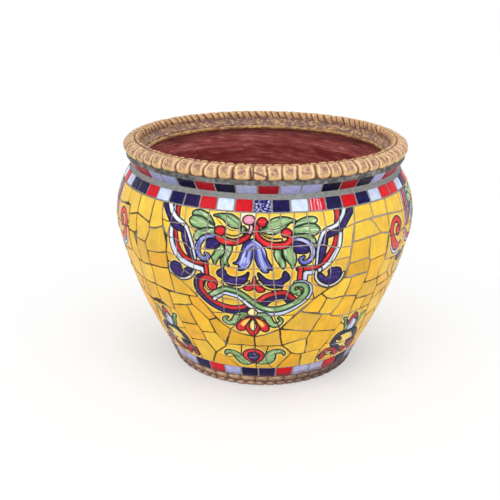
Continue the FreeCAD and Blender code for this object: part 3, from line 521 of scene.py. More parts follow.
def brushed(glaze_name, number, away, mm, course):
    """The glaze of one shape: darker at its edge, and streaked along its course."""
    edge, core, streak = (np.array(c, float) for c in GLAZES[glaze_name])
    depth = unit(-away / core_mm)[:, None]
    if course is not None and glaze_name != "blue":
        axis = np.linalg.svd(course, full_matrices=False)[2][0]
        along, across = mm @ axis, mm @ np.array([-axis[1], axis[0]])
    else:
        along, across = mm.sum(1) * 0.7, away * 1.3
    brush = ripple(across * 0.75 + number * 5.7, along * 0.1, 3 + number)[:, None]
    glazed = edge + (core - edge) * unit(depth * 0.95 + 0.55 * brush)
    fine = ripple(across * 1.15 + number * 3.1, along * 0.13, 29 + number)[:, None]
    bold = 0.2 if glaze_name == "blue" else 0.5
    return glazed + (streak - glazed) * 0.8 * unit(fine * 2.4 - bold) * (depth > 0.2)


def painted(x, y, colours, figures):
    """Brushes the figures over base colours. x is in degrees, y in hundredths of the field."""
    kx = degree_mm(y)
    shapes = list(drawn_shapes(figures))
    pad_x, pad_y = reach_mm / least_degree_mm, reach_mm / rise_mm
    for halo in (True, False):
        for number, (glaze_name, path, widths, closed) in enumerate(shapes):
            lo, hi = path.min(0), path.max(0)
            rows = np.nonzero((x > lo[0] - pad_x) & (x < hi[0] + pad_x)
                              & (y > lo[1] - pad_y) & (y < hi[1] + pad_y))[0]
            if not len(rows) or (halo and glaze_name in WITHOUT_HALO):
                continue
            px, py = x[rows], y[rows]
            wobble = 0.35 * ripple(px * 0.9, py * 1.3, 11)
            away = near_line(px, py, kx[rows], path, widths, closed) + wobble * 0.5
            if halo:
                mix(colours, HALO, 0.65 * step(line_mm + halo_mm, away), rows)
                continue
            if glaze_name not in WITHOUT_INK:
                mix(colours, INK, step(line_mm + 0.25 * wobble, away), rows)
            mm = np.column_stack([px * kx[rows], py * rise_mm])
            course = (path - path.mean(0)) * (kx[rows].mean(), rise_mm) if closed else None
            mix(colours, brushed(glaze_name, number, away, mm, course), step(0.0, away), rows)


def linear(colours):
    """sRGB from 0 to 255 as scene linear."""
    c = unit(np.asarray(colours, float) / 255)
    return np.where(c <= 0.04045, c / 12.92, ((c + 0.055) / 1.055) ** 2.4)


def make_piece(name, verts, faces, colours, material):
    """A mesh piece from places in millimetres, with its glaze colours as an attribute."""
    mesh = bpy.data.meshes.new(name)
    flat, sizes = [i for f in faces for i in f], [len(f) for f in faces]
    mesh.vertices.add(len(verts))
    mesh.vertices.foreach_set("co", (np.asarray(verts) / metre).astype(np.float32).ravel())
    mesh.loops.add(len(flat))
    mesh.loops.foreach_set("vertex_index", np.asarray(flat, np.int32))
    mesh.polygons.add(len(sizes))
    starts = np.concatenate([[0], np.cumsum(sizes)[:-1]]).astype(np.int32)
    mesh.polygons.foreach_set("loop_start", starts)
    mesh.polygons.foreach_set("use_smooth", np.full(len(sizes), True))
    mesh.update(calc_edges=True)
    mesh.validate()
    paint = mesh.color_attributes.new("paint", "FLOAT_COLOR", "POINT")
    rgba = np.column_stack([linear(colours), np.ones(len(verts))]).astype(np.float32)
    paint.data.foreach_set("color", rgba.ravel())
    mesh.materials.append(material)
    piece = bpy.data.objects.new(name, mesh)
    bpy.context.scene.collection.objects.link(piece)
    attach(piece, body)
    return piece


# Chips

def node_triangles(name):
    """Welded places in millimetres, and triangles, of a node of the part."""
    mesh = nodes[name].data
    mesh.calc_loop_triangles()
    co = np.empty(len(mesh.vertices) * 3)
    mesh.vertices.foreach_get("co", co)
    tris = np.empty(len(mesh.loop_triangles) * 3, int)
    mesh.loop_triangles.foreach_get("vertices", tris)
    places, weld = np.unique(np.round(co.reshape(-1, 3) * metre, 3), axis=0, return_inverse=True)
    return places, weld.ravel()[tris].reshape(-1, 3)


def solid_labels(places, tris):
    """A number for each place that its whole solid shares."""
    label, before = np.arange(len(places)), None
    while before is None or (label != before).any():
        before = label.copy()
        np.minimum.at(label, tris.ravel(), np.repeat(before[tris].min(1), 3))
    return label


least_area, facing = 1e-6, 0.999


def chip_faces(name):
    """Outline and outward direction of the front face of each chip of a node of the part."""
    places, tris = node_triangles(name)
    label = solid_labels(places, tris)
    a, b, c = (places[tris[:, k]] for k in range(3))
    cross = np.cross(b - a, c - a)
    area = np.linalg.norm(cross, axis=1)
    found = []
    for part in np.unique(label):
        mine = np.nonzero((label[tris[:, 0]] == part) & (area > least_area))[0]
        normals = cross[mine] / area[mine][:, None]
        big = normals[np.argmax(area[mine])]
        middle = places[label == part].mean(0)
        if big[0] * middle[0] + big[1] * middle[1] < 0:
            big = -big
        front = tris[mine[normals @ big > facing]]
        edges = {(t[k], t[(k + 1) % 3]) for t in front for k in range(3)}
        after = {i: j for i, j in edges if (j, i) not in edges}
        loop = [min(after)]
        while after[loop[-1]] != loop[0]:
            loop.append(after[loop[-1]])
        found.append((places[loop], big))
    return sorted(found, key=lambda f: tuple(np.round(f[0].mean(0), 1)))


def inward_of(ring):
    along = np.roll(ring, -1, 0) - np.roll(ring, 1, 0)
    along /= np.linalg.norm(along, axis=1)[:, None] + 1e-9
    return np.column_stack([-along[:, 1], along[:, 0]])


def boundary(corners, step_mm, seed):
    """A hand-nipped outline: the corners rounded and the edges a little ragged."""
    ring = []
    for a, b in zip(corners, np.roll(corners, -1, 0)):
        count = max(2, int(round(math.dist(a, b) / step_mm)))
        ring.append(a + (b - a) * np.arange(count)[:, None] / count)
    ring = np.vstack(ring)
    ring = ring * 0.5 + (np.roll(ring, 1, 0) + np.roll(ring, -1, 0)) * 0.25
    nick = -0.04 + 0.18 * ripple(ring[:, 0] * 0.45, ring[:, 1] * 0.45, seed)
    nick += 0.1 * ripple(ring[:, 0] * 1.1, ring[:, 1] * 1.1, seed + 1)
    return ring + inward_of(ring) * nick[:, None]


def away_from_ring(spots, ring):
    d = np.roll(ring, -1, 0) - ring
    rel = spots[:, None] - ring[None]
    t = unit((rel * d).sum(2) / ((d * d).sum(1) + 1e-9))
    return np.linalg.norm(rel - t[..., None] * d, axis=2).min(1)


def spots_inside(ring, spacing):
    """Places in staggered rows inside a ring, and clear of it."""
    lo, hi = ring.min(0), ring.max(0)
    ys = np.arange(lo[1], hi[1], spacing * 0.866)
    gx, gy = np.meshgrid(np.arange(lo[0], hi[0], spacing), ys)
    gx = gx + (np.arange(len(ys)) % 2)[:, None] * spacing / 2
    spots = np.column_stack([gx.ravel(), gy.ravel()])
    spots = spots[inside_ring(spots, ring)]
    return spots[away_from_ring(spots, ring) > spacing * 0.55] if len(spots) else spots


# Rings of a chip's rounded edge: millimetres inwards and millimetres under the face
EDGE_RINGS = ((0.0, 2.6), (0.0, 0.85), (0.18, 0.34), (0.5, 0.08), (0.95, 0.0))
ring_step_mm = 1.5


def face_plane(corners, normal):
    """Middle of a chip's face, its two directions, and its corners on them, anticlockwise."""
    middle = corners.mean(0)
    u = np.cross([0, 0, 1], normal)
    u /= np.linalg.norm(u)
    v = np.cross(normal, u)
    flat = np.column_stack([(corners - middle) @ u, (corners - middle) @ v])
    turned = np.roll(flat, -1, 0)
    if (flat[:, 0] * turned[:, 1] - flat[:, 1] * turned[:, 0]).sum() < 0:
        flat = flat[::-1]
    return middle, u, v, flat


def glaze_lift(places, edge, seed):
    """Height of the glaze: a crown, and slow waves that die out at the edge."""
    crown = 0.22 * (1 - np.exp(-edge / 3.0))
    wave = 0.09 * ripple(places[:, 0] * 0.16, places[:, 1] * 0.16, seed + 2)
    wave += 0.04 * ripple(places[:, 0] * 0.5, places[:, 1] * 0.5, seed + 3)
    return crown + wave * unit(edge / 1.5)


def chip_mesh(corners, normal, spacing, seed):
    """Vertices, faces and each vertex's distance from the edge, of one chip."""
    middle, u, v, flat = face_plane(corners, normal)
    ring = boundary(flat, min(ring_step_mm, spacing), seed)
    rings = [ring + inward_of(ring) * gap for gap, _ in EDGE_RINGS]
    last, count = rings[-1], len(ring)
    spots = spots_inside(last, spacing)
    points = np.vstack([last, spots])
    out = delaunay_2d_cdt([Vector(p) for p in points], [], [list(range(count))], 1, 1e-6)
    # A vertex that the triangulation made itself has no origin, and comes after the others
    origin, added = [], []
    for place, first in zip(out[0], out[3]):
        if not first:
            first = [len(points) + len(added)]
            added.append(tuple(place))
        origin.append(first[0] + count * (len(rings) - 1))
    if added:
        spots = np.vstack([spots, np.array(added)])
    faces = [tuple(origin[i] for i in f) for f in out[2]]
    for level in range(0, count * (len(rings) - 1), count):
        for k in range(count):
            n = (k + 1) % count
            faces.append((level + k, level + n, level + count + n, level + count + k))
    depth = np.concatenate([np.full(count, d) for _, d in EDGE_RINGS] + [np.zeros(len(spots))])
    edge = np.concatenate([np.full(count, g) for g, _ in EDGE_RINGS]
                          + [away_from_ring(spots, ring) if len(spots) else np.zeros(0)])
    places = np.vstack(rings + [spots])
    lift = glaze_lift(places, edge, seed) - depth
    world = middle + places[:, :1] * u + places[:, 1:] * v + lift[:, None] * normal
    return world, faces, edge


def build_chips(name, spacing, seed):
    """All chips of a node as one list of meshes."""
    return [chip_mesh(corners, normal, spacing, seed + 17 * number)
            for number, (corners, normal) in enumerate(chip_faces(name))]


# Corners of the widest flat chips stand out from the curved wall, and are worn back
corner_proud, corner_wear = 0.5, 0.65


def joined(made, turn):
    """The chips in one mesh, turned about the pot's axis."""
    faces, start = [], 0
    for world, chip, _ in made:
        faces += [tuple(i + start for i in f) for f in chip]
        start += len(world)
    owner = np.repeat(np.arange(len(made)), [len(world) for world, _, _ in made])
    verts = np.vstack([world for world, _, _ in made])
    radius = np.hypot(verts[:, 0], verts[:, 1])
    proud = radius - np.interp(verts[:, 2], OUTLINE[:, 1], OUTLINE[:, 0]) - corner_proud
    verts[:, :2] *= (1 - corner_wear * np.clip(proud, 0, None) / radius)[:, None]
    c, s = math.cos(math.radians(turn)), math.sin(math.radians(turn))
    verts = verts @ np.array([[c, s, 0], [-s, c, 0], [0, 0, 1]])
    return verts, faces, np.concatenate([edge for _, _, edge in made]), owner


YELLOWS = np.array([(238, 184, 46), (232, 178, 46), (240, 194, 60), (236, 174, 42),
                    (226, 178, 60)], float)
LIGHT_YELLOW = np.array((250, 212, 84), float)
CREAM_TILE = np.array((240, 236, 206), float)
STAIN = np.array((150, 122, 84), float)
light_from, light_over, light_most = 72, 28, 0.75
stain_mm = 0.3


def yellow_base(verts, owner, seed):
    """Golden glaze that differs from chip to chip and pools a little on each."""
    turn, rise = field_places(verts)
    rng = np.random.default_rng(seed)
    count = owner.max() + 1
    tint = YELLOWS[rng.integers(0, len(YELLOWS), count)]
    tint = tint + rng.normal(0, 3.0, (count, 1))
    mean_rise = np.bincount(owner, rise) / np.bincount(owner)
    light = unit((mean_rise - light_from) / light_over)[:, None] * light_most
    colours = (tint * (1 - light) + LIGHT_YELLOW * light)[owner]
    pool = ripple(turn * 0.32 + owner * 3.1, rise * 0.22, seed)
    streak = ripple(turn * 1.6 + owner * 1.7, rise * 0.25, seed + 5)
    colours = colours * (1 + 0.05 * pool + 0.035 * streak)[:, None]
    colours[:, 2] -= 12 * unit(pool)
    return colours


def stained(colours, edge, amount=0.45):
    """The joint's dirt on the rounded edge of each chip."""
    share = amount * unit(1 - edge / stain_mm)[:, None]
    return colours * (1 - share) + STAIN * share


# Materials

def new_material(name):
    material = bpy.data.materials.new(name)
    material.use_nodes = True
    tree = material.node_tree
    return material, tree, next(n for n in tree.nodes if n.type == "BSDF_PRINCIPLED")


def wire(tree, node, sockets):
    """Links or sets input sockets of a node."""
    for key, value in sockets.items():
        if isinstance(value, bpy.types.NodeSocket):
            tree.links.new(value, node.inputs[key])
        else:
            node.inputs[key].default_value = value
    return node


def add(tree, kind, *inputs, sockets=None, **settings):
    """A node with its settings, its first inputs in order, and other sockets by name or number."""
    node = tree.nodes.new(kind)
    for key, value in settings.items():
        setattr(node, key, value)
    return wire(tree, node, {**dict(enumerate(inputs)), **(sockets or {})})


def vector_math(tree, operation, *inputs):
    return add(tree, "ShaderNodeVectorMath", *inputs, operation=operation).outputs[0]


def length_of(tree, vector):
    return add(tree, "ShaderNodeVectorMath", vector, operation="LENGTH").outputs["Value"]


def number_math(tree, operation, *inputs):
    return add(tree, "ShaderNodeMath", *inputs, operation=operation).outputs[0]


def object_place(tree):
    return add(tree, "ShaderNodeTexCoord").outputs["Object"]


def noise(tree, scale, detail=4.0, rough=0.55, place=None, twist=0.0):
    where = object_place(tree) if place is None else place
    sockets = {"Vector": where, "Scale": scale, "Detail": detail, "Roughness": rough,
               "Distortion": twist}
    return add(tree, "ShaderNodeTexNoise", sockets=sockets).outputs["Fac"]


def ranged(tree, value, low, high, low_in=0.3, high_in=0.7):
    sockets = {"Value": value, "From Min": low_in, "From Max": high_in, "To Min": low,
               "To Max": high}
    return add(tree, "ShaderNodeMapRange", sockets=sockets).outputs["Result"]


def darkened(tree, colour, grey_value):
    """A colour times a grey value."""
    grey = add(tree, "ShaderNodeCombineColor", grey_value, grey_value, grey_value)
    sockets = {0: 1.0, 6: colour, 7: grey.outputs["Color"]}
    return add(tree, "ShaderNodeMix", sockets=sockets, data_type="RGBA",
               blend_type="MULTIPLY").outputs[2]


def bumped(tree, heights):
    """A chain of bumps from (height, strength, distance in metres)."""
    normal = None
    for height, strength, distance in heights:
        sockets = {"Height": height, "Strength": strength, "Distance": distance}
        if normal is not None:
            sockets["Normal"] = normal
        normal = add(tree, "ShaderNodeBump", sockets=sockets).outputs["Normal"]
    return normal


def painted_material(name, mottle, rough, bumps, shine=0.5):
    """The paint attribute under a mottle and a roughness, each (noise, low, high), and bumps."""
    material, tree, shader = new_material(name)
    paint = add(tree, "ShaderNodeAttribute", attribute_name="paint")
    fine, gloss = (ranged(tree, noise(tree, *grain), low, high)
                   for grain, low, high in (mottle, rough))
    wire(tree, shader, {
        "Base Color": darkened(tree, paint.outputs["Color"], fine),
        "Roughness": gloss, "Specular IOR Level": shine,
        "Normal": bumped(tree, [(noise(tree, *grain), strength, distance)
                                for grain, strength, distance in bumps])})
    return material


def glaze_material(name, gloss, mottle, shine):
    """Paint under a clear glaze: mottled, with pinholes and slow waves."""
    return painted_material(
        name, ((420.0, 5.0), 1 - mottle, 1 + mottle * 0.4),
        ((160.0, 3.0), gloss - 0.06, gloss + 0.1),
        (((70.0, 2.0), 0.25, 0.0006), ((900.0, 3.0), 0.12, 0.0002)), shine)


def earth_material(name, rough, mottle, grain):
    """Paint on bare or thinly washed clay, or on mortar."""
    return painted_material(
        name, ((grain, 8.0, 0.65), 1 - mottle, 1 + mottle * 0.5),
        ((grain * 0.5, 4.0), rough - 0.1, rough + 0.1),
        (((grain * 0.35, 4.0), 0.5, 0.0008), ((grain * 1.6, 6.0, 0.7), 0.5, 0.0005)))


glaze = glaze_material("chip_glaze", 0.32, 0.09, 0.24)
row_glaze = glaze_material("tile_glaze", 0.3, 0.12, 0.12)
grout_finish = earth_material("grout", 0.9, 0.3, 500.0)
roll_finish = earth_material("washed_roll", 0.5, 0.28, 380.0)

# The field and the panels
painted_spacing, plain_spacing = 0.7, 2.6
tulip_turn = 46.0
SIDES = ("front", "right", "back", "left")
# Turns and least height of the chip in the front and back panels that is glazed cream
cream_left, cream_right, cream_low = -4.2, 1.6, 90.0


def chip_piece(name, made, turn, seed, figures=(), figure_turn=0):
    """The chips of a node, yellow and painted with figures."""
    verts, faces, edge, owner = joined(made, turn)
    colours = yellow_base(verts, owner, seed)
    angle, rise = field_places(verts)
    local = (angle - turn - figure_turn + 180) % 360 - 180
    if name in ("panel_front", "panel_back"):
        mean_turn, mean_rise = (np.bincount(owner, v) / np.bincount(owner) for v in (local, rise))
        cream = (mean_turn > cream_left) & (mean_turn < cream_right) & (mean_rise > cream_low)
        colours[cream[owner]] = CREAM_TILE
    painted(local, rise, colours, figures)
    piece = make_piece("mosaic_" + name, verts, faces, stained(colours, edge), glaze)
    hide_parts(name)


made = build_chips("panel_front", painted_spacing, 100)
chip_piece("panel_front", made, 0, 1, FRONT_FIGURES)
chip_piece("panel_back", made, 180, 2, FRONT_FIGURES)
made = build_chips("panel_right", painted_spacing, 300)
chip_piece("panel_right", made, 0, 3, SIDE_FIGURES, 90)
chip_piece("panel_left", made, 180, 4, SIDE_FIGURES, 90)
for stem, seed, figures, figure_turn in (("flower_", 500, BASE_FLOWER, 0),
                                         ("tulip_", 600, TULIP, tulip_turn)):
    made = build_chips(stem + "front", painted_spacing, seed)
    for index, side in enumerate(SIDES):
        chip_piece(stem + side, made, 90 * index, seed + index, figures, figure_turn)
made = build_chips("low_field_front", plain_spacing, 700)
for index, side in enumerate(SIDES):
    chip_piece("low_field_" + side, made, 90 * index, 710 + index)
for stem, seed in (("field_right_of_", 800), ("field_left_of_", 900)):
    made = build_chips(stem + "front", plain_spacing, seed)
    chip_piece(stem + "front", made, 0, seed + 1)
    chip_piece(stem + "back", made, 180, seed + 2)

# The rows of small tiles
ROW_GLAZES = {
    "navy": (22, 10, 64), "red": (216, 22, 40), "white": (206, 218, 246), "lilac": (182, 186, 234),
    "striped": (220, 30, 50), "figured": (210, 220, 246),
}
# Painted shade under the rim roll: how far each glaze of the neck row is darkened
NECK_PAINTED_SHADE = {"red": 0.72, "navy": 0.55, "lilac": 0.86}
NAVY_SPECK, STRIPE = (62, 48, 146), (238, 196, 206)
FIGURE_MARK, GRIME_AND_SIDE_SHADE = (34, 22, 104), (96, 66, 66)
row_spacing, fine_row_spacing = 2.4, 1.1
stripe_degrees, striped_to = 1.15, 1.6


def side_painted_shade(turn):
    """Painted shade on the pot's sides: most at two opposite quarters of its turn, least near the
    front and the back.
    """
    return np.sin(np.radians(turn + 15)) ** 2


def row_piece(name, seed):
    place, _, glaze_name = name.split("_")
    fine = glaze_name in ("striped", "figured")
    made = build_chips(name, fine_row_spacing if fine else row_spacing, seed)
    verts, faces, edge, owner = joined(made, 0)
    rng = np.random.default_rng(seed)
    count = owner.max() + 1
    tint = np.array(ROW_GLAZES[glaze_name], float) + rng.normal(0, 5, (count, 1))
    tint = tint + rng.normal(0, 3, (count, 3))
    # The neck row is darkened as painted shade under the rim roll
    if place == "neck":
        tint = tint * NECK_PAINTED_SHADE[glaze_name]
    turn, rise = field_places(verts)
    colours = tint[owner]
    vary(colours, 0.06, ripple(turn * 0.9, rise * 0.5, seed))
    if glaze_name == "navy":
        mix(colours, NAVY_SPECK, 0.4 * unit(ripple(turn * 2.2, rise * 1.7, seed + 3) * 2 - 0.5))
    # Grime towards the bottom of the base row, and painted shade on the pot's sides
    if place == "base":
        grime = unit((-3.8 - rise) / 3) * unit(0.7 + ripple(turn * 0.5, rise * 0.9, 58))
        mix(colours, GRIME_AND_SIDE_SHADE, 0.75 * unit(grime + 0.3 * side_painted_shade(turn)))
    if glaze_name == "striped":
        local = turn - (np.bincount(owner, turn) / np.bincount(owner))[owner]
        stripe = ((local + 0.35 * ripple(rise * 0.5, turn, 5)) / stripe_degrees) % 1
        stripe = np.abs(stripe - 0.5) * 2
        mix(colours, STRIPE, unit((stripe - 0.62) * 5) * (local < striped_to))
    if glaze_name == "figured":
        mark = ripple(turn * 2.1, rise * 1.5, 9) + 0.7 * ripple(turn * 4.3, rise * 2.9, 10)
        mix(colours, FIGURE_MARK, unit(mark * 3 + 1.4))
    piece = make_piece("tiles_" + name, verts, faces, stained(colours, edge, 0.4), row_glaze)
    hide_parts(name)


for number, name in enumerate(sorted(n for n in nodes if "_row_" in n)):
    row_piece(name, 1000 + 40 * number)


# Turned and lobed forms

def lathe(section, around, shape, closed=True):
    """A ring of quads from a section of (radius, height), bent by shape(turn, index)."""
    turns = np.arange(around) * 360.0 / around
    count = len(section)
    turn, row = np.meshgrid(turns, np.arange(count), indexing="ij")
    radius, height = shape(turn, row, section[row, 0], section[row, 1])
    angle = np.radians(turn)
    verts = np.column_stack([(radius * np.sin(angle)).ravel(), (-radius * np.cos(angle)).ravel(),
                             height.ravel()])
    i, j = np.meshgrid(np.arange(around), np.arange(count if closed else count - 1), indexing="ij")
    ni, nj = (i + 1) % around, (j + 1) % count
    faces = np.stack([i * count + j, ni * count + j, ni * count + nj, i * count + nj], -1)
    return verts, faces.reshape(-1, 4).tolist(), turn.ravel(), row.ravel()


def one_colour(colour, verts):
    return np.tile(np.array(colour, float), (len(verts), 1))


def drawn_in(runs, depth):
    """The outline at some runs, drawn in by a depth."""
    along = place_at(runs + 0.5) - place_at(runs - 0.5)
    along = along / np.linalg.norm(along, axis=0)
    here = place_at(runs)
    return np.column_stack([here[0] - along[1] * depth, here[1] + along[0] * depth])


GROUT_ROW = (150, 150, 148)
GROUT_COVE = (122, 126, 118)
GROUT_COVE_PALE = (160, 152, 156)
RIM_PAINTED_SHADOW = (70, 70, 70)
GROUT_FOOT = (166, 152, 162)
GROUT_FIELD = (66, 54, 40)
GROUT_PALE = (184, 174, 162)
GROUT_PANEL = (186, 178, 174)
grout_depth, grout_step, grout_turns = 0.55, 1.9, 600
cove_top, cove_rows = 293.9, 3
panel_half_turn, panel_low = 31, 46


def build_grout():
    """The mortar between the tiles, and its cove under the rim."""
    start = CORNER_RUNS[1] + 0.4
    runs = np.concatenate([np.arange(start, CORNER_RUNS[-1], grout_step), [CORNER_RUNS[-1]]])
    section = drawn_in(runs, grout_depth)
    radius, height = section[-1]
    section = np.vstack([section, (radius - 0.4, height + 1.2), (radius - 0.9, height + 2.6),
                         (radius - 1.0, cove_top)])
    cove_row = len(runs) - cove_rows

    def shape(turn, row, radius, height):
        rough = 0.22 * ripple(turn * 0.9, row * 0.55, 31)
        rough += 0.12 * ripple(turn * 2.3, row * 1.3, 32)
        return radius + rough * (0.7 + 1.6 * unit((row - cove_row) / 2)), height

    verts, faces, turn, row = lathe(section, grout_turns, shape, False)
    rise = (np.concatenate([runs, [runs[-1]] * cove_rows])[row] - base_run) / rise_mm
    colours = one_colour(GROUT_ROW, verts)
    in_cove = unit((row - len(runs) + 8) / 6)
    mix(colours, GROUT_COVE, in_cove)
    smear = 0.45 * np.cos(np.radians(turn - 15)) + 0.9 * ripple(turn * 0.22, row * 0.35, 37)
    mix(colours, GROUT_COVE_PALE, in_cove * unit(smear) * 0.85)
    mix(colours, GROUT_FOOT, unit((3 - row) / 2))
    field = unit(rise / 1.2) * unit((100 - rise) / 1.2)
    patch = np.clip(0.75 + 0.9 * ripple(turn * 0.35, rise * 0.3, 33), 0.25, 1)
    mix(colours, GROUT_FIELD, field * patch)
    pale = 0.1 + 0.45 * np.sin(np.radians(turn * 2)) + (rise - 62) / 70
    pale = unit(pale + 0.9 * ripple(turn * 0.16, rise * 0.2, 35))
    mix(colours, GROUT_PALE, field * pale * 0.85)
    local = (turn + 45) % 90 - 45
    panel = unit((panel_half_turn - np.abs(local)) / 2)
    panel = panel * unit((rise - panel_low - 0.02 * local ** 2) / 6)
    mix(colours, GROUT_PANEL, field * panel * 0.8)
    vary(colours, 0.1, ripple(turn * 1.7, rise * 1.1, 34))
    # Painted shadow of the rim roll at the top of the cove, in ragged patches
    rim_shadow_share = unit((row - cove_row + 1) / 3) * unit(ripple(turn * 0.9, row * 0.9, 36) + 0.45)
    mix(colours, RIM_PAINTED_SHADOW, 0.85 * rim_shadow_share)
    piece = make_piece("grout_bed", verts, faces, colours, grout_finish)
    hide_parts("mortar_coat")


build_grout()

# The rim roll. Its section on a lobe: shares of its width and height, and how far each place
# draws in between two lobes
rim_lobes, inner_lobes, lobe_steps = 62, 101, 20
RIM_CORNER, RIM_SIZE = np.array([163.5, 294.0]), np.array([24.5, 16.0])
RIM_CORE_SHARES = (0.55, 0.42)
crest_share = 0.4
RIM_SECTION = np.array([
    (-0.15, -0.2, 0.1), (-0.05, -0.02, 0.1), (0.05, 0.1, 0.1), (0.12, 0.25, 0.15),
    (0.145, 0.42, 0.5), (0.15, 0.6, 1), (0.17, 0.78, 1), (0.22, 0.93, 1), (0.29, 1.0, 0.9),
    (0.36, 0.97, 0.3), (0.4, 0.86, 0.0), (0.44, 0.94, 0.3), (0.5, 0.955, 0.6), (0.6, 0.94, 0.9),
    (0.72, 0.9, 1), (0.84, 0.81, 1), (0.94, 0.66, 1.05), (0.99, 0.5, 1.1), (1.0, 0.34, 1.1),
    (0.97, 0.18, 1.1), (0.9, 0.05, 0.8), (0.78, 0.0, 0.2), (0.4, -0.005, 0), (0.0, -0.01, 0)])
RIM_PATH, _ = smooth_path(RIM_SECTION[:, :2], steps=3)
RIM_PULL = np.clip(smooth_path(RIM_SECTION[:, [2, 2]], steps=3)[0][:, 0], 0, 1.2)
RIM_PLACES = RIM_CORNER + RIM_SIZE * RIM_PATH
RIM_OUT = RIM_CORNER + RIM_SIZE * RIM_CORE_SHARES - RIM_PLACES
RIM_OUT /= np.linalg.norm(RIM_OUT, axis=1)[:, None]
IN_MOUTH = RIM_PATH[:, 0] < crest_share
crack_from, crack_to = -0.4, 6.0


def rim_crack(turn, up):
    """The crack where two pressed lengths of the rope meet at the front."""
    line = 0.66 - 0.46 * unit((turn - crack_from) / 6.4) ** 1.4
    return hump(up, line, 0.055) * ((turn > crack_from) & (turn < crack_to))


def rim_grooves(turn, row):
    """How far round its lobe or rib a place is, the gap to the nearest groove, and the groove."""
    lean = 0.16 * np.sin((RIM_PATH[row, 0] - 0.3) * 3.0)
    shift = 0.24 * ripple(turn * 0.12, row * 0.0 + 3.3, 41)
    shift += 0.06 * ripple(turn * 0.5, row * 0.12, 52)
    outer = (turn * rim_lobes / 360 + lean + shift) % 1.0
    slant = 0.75 * (RIM_PATH[row, 1] - 0.9) + 0.25 * ripple(turn * 0.2, row * 0.0 + 7.1, 47)
    phase = np.where(IN_MOUTH[row], (turn * inner_lobes / 360 - slant) % 1.0, outer)
    gap = np.minimum(phase, 1 - phase)
    return phase, gap, hump(gap, 0, np.where(IN_MOUTH[row], 0.15, 0.062))


def rim_shape(turn, row, radius, height):
    _, gap, groove = rim_grooves(turn, row)
    across, up, pull = RIM_PATH[row, 0], RIM_PATH[row, 1], RIM_PULL[row]
    deep = np.where(IN_MOUTH[row], 0.75, 1.0)
    sink = pull * deep * (1.7 * groove + 0.7 * unit(0.3 - gap) ** 2 * 6)
    sink = sink + 1.9 * (unit((0.5 - up) / 0.45) * (across > 0.85)) * (1 - 2 * gap) ** 3
    lump = 0.42 * ripple(turn * 0.35, row * 0.14, 42) + 0.26 * ripple(turn * 1.1, row * 0.3, 43)
    lump += 0.12 * ripple(turn * 2.9, row * 0.8, 53)
    rugged = np.clip(0.3 - across, 0, 0.3) * unit(0.6 - up) * 6
    lump = lump * unit(pull + 0.25) + rugged * ripple(turn * 0.8, row * 0.5, 48)
    sink = sink - lump + 0.9 * rim_crack(turn, up) * (across > 0.5)
    return radius + RIM_OUT[row, 0] * sink, height + RIM_OUT[row, 1] * sink


def build_rim():
    """The pressed rope of the rim: lobes outside, fine slanted ribs inside, and a dark crest."""
    verts, faces, turn, row = lathe(RIM_PLACES, rim_lobes * lobe_steps, rim_shape)
    phase, gap, groove = rim_grooves(turn, row)
    across, up, pull = RIM_PATH[row, 0], RIM_PATH[row, 1], RIM_PULL[row]
    colours = one_colour((216, 168, 114), verts)
    vary(colours, 0.09, ripple(turn * 0.6, row * 0.3, 44))
    vary(colours, 0.09, ripple(turn * 2.6, row * 1.1, 49))
    vary(colours, 0.07, ripple(turn * 5.3, row * 2.1, 51))
    # The wash on the lobes' faces, and on the band inside them
    outer = unit((across - 0.45) * 6)
    face = hump(gap, 0.5, 0.27, 4) * hump(up, 0.7, 0.24, 4) * outer
    blotch = np.clip(0.6 + 0.7 * ripple(turn * 1.3, row * 0.5, 45), 0.1, 1)
    mix(colours, (130, 86, 92), 0.9 * face * blotch)
    inner = unit((0.34 - across) * 7) * unit((0.66 - up) * 4)
    patchy = unit(0.65 + 0.9 * ripple(turn * 0.9, row * 0.5, 46))
    mix(colours, (100, 70, 74), 0.92 * inner * patchy)
    mix(colours, (196, 152, 96), 0.7 * inner * unit(ripple(turn * 2.3, row * 1.3, 50) * 2 - 0.6))
    # Wear, most on the left side
    side = (turn + 180) % 360 - 180
    aged = 0.5 * hump(side, -75, 40) - 0.2 * hump(side, 0, 30)
    worn = unit(ripple(turn * 0.8, row * 0.35, 54) * 1.6 - 0.35 + 2 * aged)
    mix(colours, (132, 100, 76), 0.6 * worn)
    # Light ochre as a painted highlight on one side of each inner rib, and light ochre in the
    # wrinkles, beside the grooves and under the lobes
    rib_painted_highlight = hump(phase, 0.7, 0.13) * unit((0.38 - across) * 9) * unit((up - 0.42) * 5)
    mix(colours, (238, 202, 142), 0.65 * rib_painted_highlight)
    wrinkle = ripple(turn * 1.5 + 2 * up, row * 1.1, 55) + 0.6 * ripple(turn * 4.1, row * 1.9, 56)
    mix(colours, (246, 216, 160), 0.6 * unit(wrinkle * 1.6 - 0.55) * outer)
    mix(colours, (140, 92, 76), 0.6 * unit(-wrinkle * 1.6 - 0.6) * outer)
    mix(colours, (248, 218, 166), 0.8 * hump(gap, 0.17, 0.06) * pull * outer)
    low_lip = hump(up - 0.27 + 0.3 * (0.5 - gap) ** 2, 0, 0.11) * outer * unit((gap - 0.1) * 6)
    mix(colours, (240, 198, 130), 0.6 * low_lip)
    # The dark of the grooves, a painted shade on the underside of the lobes, and the dark of the
    # crest and the crack
    dark = unit(groove ** 1.4 * 1.3 - 0.15) * unit(pull * 1.6)
    lobe_underside_painted_shade = unit((0.1 + 0.5 * unit(0.3 - gap) - up) * 8) * outer
    mix(colours, (86, 44, 40), 0.95 * np.maximum(dark, lobe_underside_painted_shade * 0.7))
    mix(colours, (78, 46, 40), 0.9 * hump(across, crest_share, 0.03) * (up > 0.5))
    mix(colours, (92, 58, 54), 0.9 * rim_crack(turn, up) * outer)
    piece = make_piece("rim_rope", verts, faces, colours, roll_finish)
    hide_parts("rim_roll")


build_rim()

foot_back, foot_bulge, foot_proud, foot_lobe_steps = 8.4, 3.2, 2.2, 14


